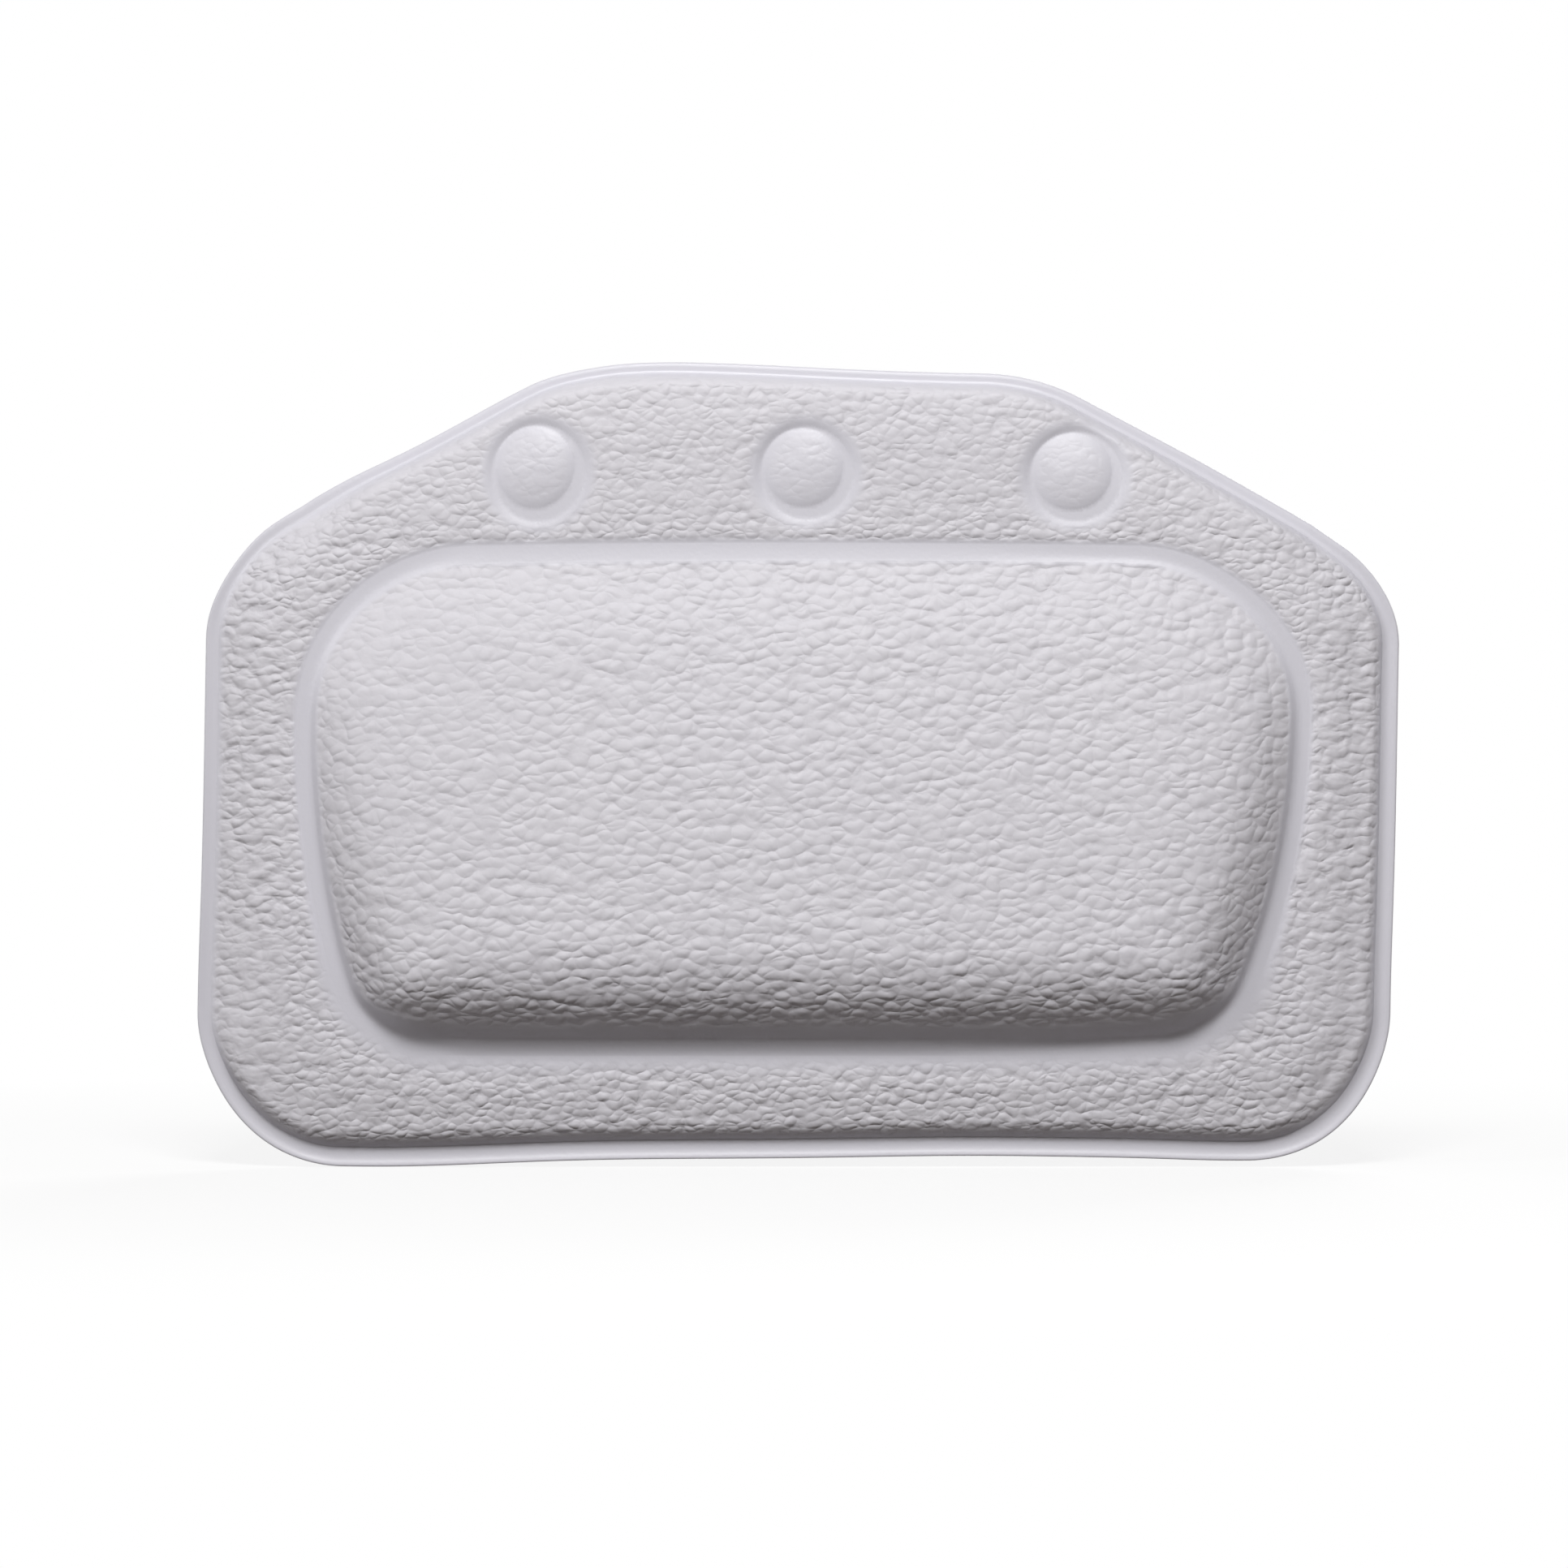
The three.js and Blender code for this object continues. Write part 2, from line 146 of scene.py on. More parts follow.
@dataclass(frozen=True)
class Hump:
    """A smooth hump of a given height, fallen to about a third at its spread."""

    height: float
    middle: float
    spread: float

    def at(self, value: Array) -> Array:
        """Its height at each value."""
        return self.height * np.exp(-(((value - self.middle) / self.spread) ** 2))


@dataclass(frozen=True)
class Arc:
    """A stretch of a loop whose outward normal turns from one bearing to another, in degrees."""

    start: float
    end: float
    x: float
    z: float
    radius: float

    def normals(self, step: float) -> Array:
        """Outward normals along the arc.

        Args:
            step: The largest turn between two normals, in degrees.

        Returns:
            Rows of unit x and z.
        """
        count = max(2, math.ceil((self.end - self.start) / step) + 1)
        turn = np.radians(np.linspace(self.start, self.end, count))
        return np.stack([np.cos(turn), np.sin(turn)], axis=1)


@dataclass(frozen=True)
class Loop:
    """A closed convex line of arcs in turning order, with straights between them."""

    arcs: tuple[Arc, ...]

    def supports(self) -> tuple[Array, Array]:
        """Outward normals all round the loop.

        Returns:
            The normals, and how far the loop reaches along each of them.
        """
        normals = [arc.normals(SUPPORT_TURN) for arc in self.arcs]
        reaches = [n @ (arc.x, arc.z) + arc.radius for n, arc in zip(normals, self.arcs)]
        return np.concatenate(normals), np.concatenate(reaches)

    def inset_of(self, points: Array) -> Array:
        """How far inside the loop points lie, negative outside it.

        Args:
            points: Rows of x and z.

        Returns:
            One inset for each row.
        """
        normals, reaches = self.supports()
        parts = np.array_split(points, max(1, len(points) // ROWS_AT_ONCE))
        return np.concatenate([(reaches - part @ normals.T).min(axis=1) for part in parts])

    def share_of(self, points: Array, inset: float, centre: Array) -> Array:
        """How far out points lie on copies of an inset loop scaled about a centre.

        Args:
            points: Rows of x and z.
            inset: The inset of the loop that has share 1.
            centre: The x and z that has share 0.

        Returns:
            One share for each row.
        """
        normals, reaches = self.supports()
        room = reaches - inset - normals @ centre
        parts = np.array_split(points - centre, max(1, len(points) // ROWS_AT_ONCE))
        return np.concatenate([(part @ normals.T / room).max(axis=1) for part in parts])

    def samples(self, step: float) -> tuple[Array, Array]:
        """Even points along the loop.

        Args:
            step: About how far apart the points are.

        Returns:
            The points and their outward normals.
        """
        turns = [arc.normals(SAMPLE_TURN) for arc in self.arcs]
        points = [turn * arc.radius + (arc.x, arc.z) for turn, arc in zip(turns, self.arcs)]
        points, normals = np.concatenate(points), np.concatenate(turns)
        points, normals = np.vstack([points, points[:1]]), np.vstack([normals, normals[:1]])
        along = np.concatenate([[0.0], np.cumsum(np.linalg.norm(np.diff(points, axis=0), axis=1))])
        at = np.linspace(0.0, along[-1], max(12, round(along[-1] / step)), endpoint=False)
        spread = [np.interp(at, along, column) for column in (*points.T, *normals.T)]
        out = np.stack(spread[2:], axis=1)
        return np.stack(spread[:2], axis=1), out / np.linalg.norm(out, axis=1, keepdims=True)

    def rows(self, step: float, insets: object, shift: Pair = (0.0, 0.0)) -> list[Array]:
        """Rows of even points at each inset from the loop, moved by a shift in x and z."""
        points, out = self.samples(step)
        return [points + shift - inset * out for inset in insets]

    def area(self) -> float:
        """The area inside the loop."""
        x, z = self.samples(1.0)[0].T
        return 0.5 * abs(np.sum(x * np.roll(z, -1) - z * np.roll(x, -1)))


@dataclass(frozen=True)
class SoftLie:
    """How this pillow, which is soft and not quite square, lies: by up to 3 mm off the even pattern."""

    middle: float = -92.0
    lean: float = 1.7
    shift: float = 0.3
    widening: float = 0.003
    side_lean: Hump = Hump(1.5, 138.0, 20.0)
    waist: Hump = Hump(-0.6, -146.0, 30.0)
    flap_tilt: float = 1.5
    flap: tuple[Zone, Zone] = (Zone(-25.0, 0.0), Zone(0.0, 29.0))
    shoulder_tilt: float = 1.3
    shoulder: tuple[Zone, Zone] = (Zone(125.0, 150.0), Zone(-75.0, -35.0))
    tilt_reach: float = 50.0
    fold_sag: Pair = (1.3, 0.9)
    fold: Hump = Hump(1.0, -25.0, 20.0)
    sags: tuple[tuple[float, float, Hump], ...] = (
        (-139.0, -10.0, Hump(-2.9, 0.0, 26.0)),
        (145.0, -17.0, Hump(1.3, 0.0, 26.0)),
        (-60.0, 29.0, Hump(1.3, 0.0, 15.0)),
        (106.0, -152.0, Hump(-1.7, 0.0, 22.0)),
        (-112.0, -152.0, Hump(-1.2, 0.0, 18.0)),
    )
    bows: tuple[Hump, ...] = (Hump(0.8, 50.0, 40.0), Hump(-0.6, 120.0, 20.0), Hump(-2.2, -115.0, 45.0))
    bowed: Zone = Zone(-160.0, -188.0)
    low_lift: Hump = Hump(1.7, -163.0, 15.0)

    def laid(self, points: Array) -> Array:
        """Where points lie: the flap tilts, the sides lean and the lower edge bows.

        Args:
            points: Rows of x and z on the even pattern.

        Returns:
            The moved rows.
        """
        x, z = points.T
        lean = self.lean * (z - self.middle) / 100.0 - self.shift + self.side_lean.at(x)
        lean = lean + self.widening * x + self.waist.at(z)
        flap = self.flap_tilt * self.flap[0].share(z) + self.flap[1].share(z)
        shoulder = self.shoulder[0].share(np.abs(x)) * self.shoulder[1].share(z)
        tilt = np.maximum(flap, self.shoulder_tilt * shoulder) * x / np.hypot(x, self.tilt_reach)
        sag = np.where(x < 0.0, *self.fold_sag) * (x / 100.0) ** 2 * self.fold.at(z)
        for across, up, dent in self.sags:
            sag = sag + dent.at(np.hypot(x - across, z - up))
        bow = sum(hump.at(x) for hump in self.bows) * self.bowed.share(z)
        return np.stack([x + lean, z - tilt - sag + self.low_lift.at(z) + bow], axis=1)


@dataclass(frozen=True)
class PillowForm:
    """The sizes of the pillow, and the rise of its face over the weld plane."""

    lie: SoftLie = SoftLie()
    # The cut edge.
    half_width: float = 165.0
    top: float = 29.0
    bottom: float = -191.0
    half_top_edge: float = 64.0
    slope: float = 28.5
    top_round: float = 58.0
    shoulder_round: float = 35.0
    bottom_round: float = 40.0
    # The groove round the head cushion.
    band_half_width: float = 136.5
    band_top: float = -22.5
    band_bottom: float = -161.5
    band_top_round: float = 45.0
    band_side_round: float = 240.0
    band_bottom_round: float = 26.0
    half_band: float = 2.5
    # The two sheets and the flange.
    weld_depth: float = WELD_DEPTH
    back_depth: float = 13.8
    sheet: float = 0.8
    flange: float = 4.1
    # The padded border: its edge, its slope and where each changes.
    pad_shift: Pair = (-0.6, 1.1)
    pad_edge: float = 3.4
    pad_edge_left: float = 17.0
    pad_edge_low: float = 1.4
    pad_slope: float = 20.0
    pad_height: float = 6.6
    slope_share: float = 0.15
    slope_low: float = 0.25
    slope_flap: float = 0.1
    slope_right: float = 0.68
    left_pad: tuple[Zone, Zone] = (Zone(-118.0, -150.0), Zone(-172.0, -145.0))
    right_pad: Zone = Zone(118.0, 148.0)
    low_pad: Zone = Zone(-135.0, -175.0)
    low_pad_edge: Zone = Zone(-165.0, -180.0)
    flap_pad: Zone = Zone(-30.0, 0.0)
    edge_drop: float = 0.5
    edge_round: float = 0.6
    # The lifted flange: shares for the bottom, the right and the left.
    flange_curl: float = 1.25
    flange_lift: float = 1.5
    lift_reach: float = 9.0
    curl_shares: tuple[float, float, float] = (1.0, 0.8, 0.55)
    lift_shares: tuple[float, float, float] = (0.5, 1.0, 0.7)
    curl_sides: tuple[Zone, Zone] = (Zone(130.0, 160.0), Zone(-130.0, -160.0))
    lift_sides: tuple[Zone, Zone] = (Zone(95.0, 150.0), Zone(-95.0, -150.0))
    low_flange: Zone = Zone(-120.0, -175.0)
    curled: Zone = Zone(10.0, -40.0)
    # The groove's outer step and inner climb.
    step_width: float = 2.2
    step_width_low: float = 10.0
    step_top: float = 0.75
    step_bottom: float = 0.7
    climb_top: float = 0.5
    climb_bottom: float = 2.2
    climb_bend: float = 1.6
    climb_bend_corner: float = 2.9
    high_groove: Zone = Zone(-90.0, -28.0)
    left_groove: Zone = Zone(-90.0, -125.0)
    low_groove: Zone = Zone(-130.0, -160.0)
    right_corner: Zone = Zone(30.0, 110.0)
    left_corner: Zone = Zone(-90.0, -114.0)
    # The head cushion.
    cushion_low: float = 3.2
    cushion_high: float = 18.0
    wedge: float = 1.13
    round_low: float = 26.0
    round_high: float = 29.5
    fullness: float = 2.5
    cushion_reach: float = 67.0
    wall_inset: float = 19.0
    crown_ease: float = 0.4
    crown_ease_most: float = 9.0
    # The domes and their rings.
    dome_radius: float = 11.0
    dome_height: float = 1.3
    dome_bend: float = 2.4
    dome_bend_below: float = 1.1
    ring_radius: float = 12.8
    ring_edge: float = 2.6
    ring_flare: float = 6.0
    flare_below: float = 0.17
    ring_depth: float = 1.05
    ring_tilt: float = 0.3
    ring_shift: Pair = (1.0, -1.4)
    ring_lean: Pair = (0.58, -0.81)
    # Where the emboss gives way to smooth pressed vinyl.
    emboss_edge: float = 2.4
    emboss_gap: float = 0.3
    emboss_fade: float = 1.6
    emboss_fade_low: float = 4.4
    foot_gap: float = 2.6
    low_emboss: Zone = Zone(-110.0, -150.0)
    foot_emboss: Zone = Zone(124.0, 104.0)
    ring_emboss: Zone = Zone(1.2, 4.5)
    dome_emboss: Zone = Zone(7.2, 10.4)
    dome_share: float = 0.35

    @property
    def centre(self) -> Array:
        """The middle of the head cushion."""
        return np.array([0.0, (self.band_top + self.band_bottom) / 2.0])

    def outline(self) -> Loop:
        """The cut edge: a six-cornered sheet with rounded corners.

        Returns:
            The loop, from its lower right corner round by the top.
        """
        lean = 90.0 - self.slope
        fall = (self.half_width - self.half_top_edge) * math.tan(math.radians(self.slope))
        corners = (
            (self.half_width, self.bottom, -90.0, 0.0, self.bottom_round),
            (self.half_width, self.top - fall, 0.0, lean, self.shoulder_round),
            (self.half_top_edge, self.top, lean, 90.0, self.top_round),
            (-self.half_top_edge, self.top, 90.0, 180.0 - lean, self.top_round),
            (-self.half_width, self.top - fall, 180.0 - lean, 180.0, self.shoulder_round),
            (-self.half_width, self.bottom, 180.0, 270.0, self.bottom_round),
        )
        arcs = []
        for x, z, start, end, radius in corners:
            half = math.radians((end - start) / 2.0)
            middle = math.radians((start + end) / 2.0)
            back = radius / math.cos(half)
            across, up = back * math.cos(middle), back * math.sin(middle)
            arcs.append(Arc(start, end, x - across, z - up, radius))
        return Loop(tuple(arcs))

    def band(self) -> Loop:
        """The middle of the groove round the head cushion: square top, sides bowing in to the bottom.

        Returns:
            The loop, from its lower right corner round by the top.
        """
        side_z = self.band_top - self.band_top_round
        drop = side_z - self.band_bottom - self.band_bottom_round
        swing = self.band_side_round - self.band_bottom_round
        turn = math.degrees(math.asin(drop / swing))
        side_x = self.band_half_width - self.band_side_round
        low_x = side_x + swing * math.cos(math.radians(turn))
        low_z = self.band_bottom + self.band_bottom_round
        top_x = self.band_half_width - self.band_top_round
        return Loop(
            (
                Arc(-90.0, -turn, low_x, low_z, self.band_bottom_round),
                Arc(-turn, 0.0, side_x, side_z, self.band_side_round),
                Arc(0.0, 90.0, top_x, side_z, self.band_top_round),
                Arc(90.0, 180.0, -top_x, side_z, self.band_top_round),
                Arc(180.0, 180.0 + turn, -side_x, side_z, self.band_side_round),
                Arc(180.0 + turn, 270.0, -low_x, low_z, self.band_bottom_round),
            )
        )

    def cushion_rise(self, inset: Array, z: Array) -> Array:
        """The head cushion: a wedge, low at the flap and high at the bottom, with rounded sides.

        Args:
            inset: Distances in from the foot.
            z: Heights of the same points.

        Returns:
            The rise over the foot.
        """
        down = (self.band_top - self.half_band - z) / (2.0 * self.cushion_reach)
        down = np.clip(down, 0.0, 1.0)
        rise = self.cushion_low + (self.cushion_high - self.cushion_low) * down**self.wedge
        reach = self.round_low + (self.round_high - self.round_low) * down
        left = 1.0 - np.clip(inset / reach, 0.0, 1.0)
        return rise * (1.0 - left**self.fullness)

    def cushion_inset(self, points: Array, band_inset: Array) -> Array:
        """How far up the head cushion's profile points lie.

        Args:
            points: Rows of x and z.
            band_inset: Their insets from the middle of the groove.

        Returns:
            Distances along the profile, even near the foot and eased over the crown.
        """
        wall = self.half_band + self.wall_inset
        share = self.band().share_of(points, wall, self.centre)
        near = band_inset - self.half_band
        crown = self.wall_inset + (self.cushion_reach - self.wall_inset) * (1.0 - share)
        ease = np.clip(self.crown_ease * near, NEAR, self.crown_ease_most)
        mix = np.clip(0.5 + 0.5 * (crown - near) / ease, 0.0, 1.0)
        return crown + (near - crown) * mix - ease * mix * (1.0 - mix)

    def pad_inset(self, points: Array) -> Array:
        """How far in from the flange rows of x and z lie, on the border."""
        return self.outline().inset_of(points - self.pad_shift) - self.flange

    def pad_rise(self, points: Array) -> Array:
        """The border's rise: a tight round at its edge, broader at the left, sloping low and right.

        Args:
            points: Rows of x and z.

        Returns:
            The rise over the flat sheet.
        """
        x, z = points.T
        left = self.left_pad[0].share(x) * self.left_pad[1].share(z)
        edge = self.pad_edge + (self.pad_edge_left - self.pad_edge) * left
        edge = edge + self.pad_edge_low * self.low_pad_edge.share(z)
        sloping = self.slope_share + self.slope_low * self.low_pad.share(z)
        sloping = sloping + self.slope_flap * self.flap_pad.share(z)
        sloping = np.maximum(sloping, self.slope_right * self.right_pad.share(x))
        inset = np.maximum(self.pad_inset(points), 0.0)
        steep = 1.0 - (1.0 - np.minimum(inset / edge, 1.0)) ** 2
        gentle = 1.0 - (1.0 - np.minimum(inset / self.pad_slope, 1.0)) ** 2
        return self.pad_height * (steep + sloping * (gentle - steep))

    def buttoned(self, points: Array, pad: Array) -> Array:
        """Presses the rings into the flap and raises the domes inside them.

        Args:
            points: Rows of x and z.
            pad: The border's rise at each row.

        Returns:
            The rise with rings and domes.
        """
        for place in FLAP_CUPS:
            off = points - self.dome_centre(place)
            away = np.hypot(*off.T)
            below = off @ self.ring_lean / np.maximum(away, NEAR)
            bend = self.dome_bend + self.dome_bend_below * below
            dome = 1.0 - np.minimum(away / self.dome_radius, 1.0) ** bend
            off = off - self.ring_shift
            tilt = np.clip(off @ self.ring_lean / self.ring_radius, -1.0, 1.0)
            depth = self.ring_depth - self.ring_tilt * tilt
            flare = self.ring_flare * (1.0 + self.flare_below * below)
            around = np.hypot(*off.T) - self.ring_radius
            pressed = (1.0 - np.clip(around / flare, 0.0, 1.0)) ** 2
            pad = pad + self.dome_height * dome - depth * pressed
        return pad

    @staticmethod
    def dome_centre(place: CupPlace) -> Array:
        """The middle of a dome, which is a little off the cup behind it."""
        return place.centre + DOME_DRIFT.get(place, (0.0, 0.0))

    def face_rise(self, points: Array) -> Array:
        """The rise of the face over the whole pillow.

        Args:
            points: Rows of x and z.

        Returns:
            The rise at each row.
        """
        x, z = points.T
        from_edge, from_band = self.outline().inset_of(points), self.band().inset_of(points)
        pad = self.buttoned(points, self.pad_rise(points))
        high, low = self.high_groove.share(z), self.low_groove.share(z)
        deep = np.maximum(high, self.left_groove.share(x))
        step = self.step_bottom + (self.step_top - self.step_bottom) * deep
        width = self.step_width + (self.step_width_low - self.step_width) * low
        pad = pad - step * (1.0 - smooth_step(0.0, 1.0, (-from_band - self.half_band) / width))
        corner = np.maximum(self.right_corner.share(x), self.left_corner.share(x))
        across = np.clip(0.5 + from_band / (2.0 * self.half_band), 0.0, 1.0)
        climb = self.climb_bottom + (self.climb_top - self.climb_bottom) * high
        climb = climb * across ** (self.climb_bend + self.climb_bend_corner * corner)
        cushion = self.cushion_rise(self.cushion_inset(points, from_band), z)
        rise = self.sheet + pad + climb + np.where(from_band > self.half_band, cushion, 0.0)
        rise = rise + self.curl_at(points, from_edge)
        return rise - self.edge_drop * (1.0 - np.clip(from_edge / self.edge_round, 0.0, 1.0)) ** 2

    def curl_at(self, points: Array, from_edge: Array) -> Array:
        """How far the flange lifts and curls out along the bottom and the sides.

        Args:
            points: Rows of x and z.
            from_edge: Their insets from the cut edge.

        Returns:
            The lift at each row, which ends under the pad.
        """
        x, z = points.T
        low, fade = self.low_flange.share(z), self.curled.share(z)
        curl, lift = (
            size * fade * np.max([a * low, b * right.share(x), c * left.share(x)], axis=0)
            for size, (a, b, c), (right, left) in (
                (self.flange_curl, self.curl_shares, self.curl_sides),
                (self.flange_lift, self.lift_shares, self.lift_sides),
            )
        )
        curl = curl * (1.0 - np.clip(from_edge / self.flange, 0.0, 1.0)) ** 2
        return curl + lift * (1.0 - smooth_step(0.0, self.lift_reach, from_edge - self.flange))

    def pressed_share(self, points: Array) -> Array:
        """How much of the smooth look of pressed vinyl each point has.

        Args:
            points: Rows of x and z.

        Returns:
            1 on the flange, in the groove and in a ring, and 0 on embossed vinyl.
        """
        from_band = self.band().inset_of(points)
        low = self.low_emboss.share(points[:, 1])
        foot = low * self.foot_emboss.share(np.abs(points[:, 0]))
        fade, gap = self.emboss_fade, self.half_band + self.emboss_gap
        outside = (-from_band - gap) / (fade + self.emboss_fade_low * low)
        inside = (from_band - self.half_band - self.foot_gap * foot) / (fade + fade * foot)
        emboss = smooth_step(0.0, self.emboss_edge, self.pad_inset(points))
        emboss = emboss * smooth_step(0.0, 1.0, np.where(from_band > 0.0, inside, outside))
        for place in FLAP_CUPS:
            centre = self.dome_centre(place)
            around = distance_from(points, centre + self.ring_shift) - self.ring_radius
            dome = 1.0 - self.dome_emboss.share(distance_from(points, centre))
            kept = np.maximum(self.ring_emboss.share(around), self.dome_share * dome)
            emboss = np.minimum(emboss, kept)
        return 1.0 - emboss


class Wiring:
    """Adds and joins the nodes of one shader tree."""

    def __init__(self, tree: bpy.types.NodeTree) -> None:
        """Starts on the emptied tree of a material, world or group."""
        self.tree = tree
        tree.nodes.clear()

    def node(self, kind: str, settings: dict | None = None, **inputs: object) -> bpy.types.Node:
        """Adds a node.

        Args:
            kind: The node's type.
            settings: Its own settings by name.
            **inputs: Its inputs by name with blanks as underscores, each a value or a socket.

        Returns:
            The new node.
        """
        made = self.tree.nodes.new(kind)
        for name, value in (settings or {}).items():
            setattr(made, name, value)
        for name, value in inputs.items():
            self.feed(made.inputs[name.replace("_", " ")], value)
        return made

    def feed(self, socket: Socket, value: object) -> None:
        """Links a socket into an input, or sets the input's value.

        Args:
            socket: The input.
            value: A socket to link from, or a plain value.
        """
        if isinstance(value, Socket):
            self.tree.links.new(value, socket)
        else:
            socket.default_value = value

    def sum(self, kind: str, first: object, second: object) -> Socket:
        """A sum of two values.

        Args:
            kind: The operation, such as MULTIPLY.
            first: A socket or number.
            second: A socket or number.

        Returns:
            The result.
        """
        made = self.node("ShaderNodeMath", {"operation": kind})
        self.feed(made.inputs[0], first)
        self.feed(made.inputs[1], second)
        return made.outputs[0]

    def arrow(self, kind: str, first: object, second: object) -> Socket:
        """A sum of two vectors, or of a vector and a scale.

        Args:
            kind: The operation, such as ADD or SCALE.
            first: A vector or its socket.
            second: A vector, or a number for SCALE, or a socket.

        Returns:
            The resulting vector.
        """
        made = self.node("ShaderNodeVectorMath", {"operation": kind})
        self.feed(made.inputs[0], first)
        self.feed(made.inputs["Scale"] if kind == "SCALE" else made.inputs[1], second)
        return made.outputs["Vector"]

    def ranged(self, value: object, span: Pair, low: float, high: float) -> Socket:
        """Maps a span of a value's socket onto low to high, held at both ends."""
        ends = {"From_Min": span[0], "From_Max": span[1], "To_Min": low, "To_Max": high}
        return self.node("ShaderNodeMapRange", Value=value, **ends).outputs["Result"]

    def mix(self, kind: str, share: object, first: object, second: object) -> Socket:
        """Mixes two numbers or two colours.

        Args:
            kind: FLOAT or RGBA.
            share: How much of the second, a socket or number.
            first: A number or colour, or its socket.
            second: A number or colour, or its socket.

        Returns:
            The mixed number or colour.
        """
        slots, out = {"FLOAT": ((0, 2, 3), 0), "RGBA": ((0, 6, 7), 2)}[kind]
        made = self.node("ShaderNodeMix", {"data_type": kind})
        for slot, value in zip(slots, (share, first, second)):
            self.feed(made.inputs[slot], value)
        return made.outputs[out]

    def either(self, share: object, first: bpy.types.Node, second: bpy.types.Node) -> bpy.types.Node:
        """Mixes two shaders.

        Args:
            share: How much of the second, a socket or number.
            first: A shader's node.
            second: A shader's node.

        Returns:
            The node that mixes them.
        """
        made = self.node("ShaderNodeMixShader", Fac=share)
        for slot, shader in ((1, first), (2, second)):
            self.feed(made.inputs[slot], shader.outputs[0])
        return made

    def stored(self, name: str, output: str = "Fac") -> Socket:
        """What a mesh stores under a name for each point, as a number or as the output named."""
        return self.node("ShaderNodeAttribute", {"attribute_name": name}).outputs[output]

    def group(self, tree: bpy.types.NodeTree, **inputs: object) -> bpy.types.NodeOutputs:
        """The outputs of a shared node group that is given these inputs."""
        return self.node("ShaderNodeGroup", {"node_tree": tree}, **inputs).outputs

    def bump(self, height: object, depth: float, invert: bool = False, **inputs: object) -> Socket:
        """Bends the normal by a height.

        Args:
            height: The height's socket, 0 to 1.
            depth: What a height of 1 stands for, in metres.
            invert: Whether the height is a depth.
            **inputs: Further inputs, such as the Normal that is bent.

        Returns:
            The bent normal.
        """
        made = self.node("ShaderNodeBump", {"invert": invert}, Height=height, Distance=depth, **inputs)
        made.inputs["Strength"].default_value = 1.0
        return made.outputs["Normal"]


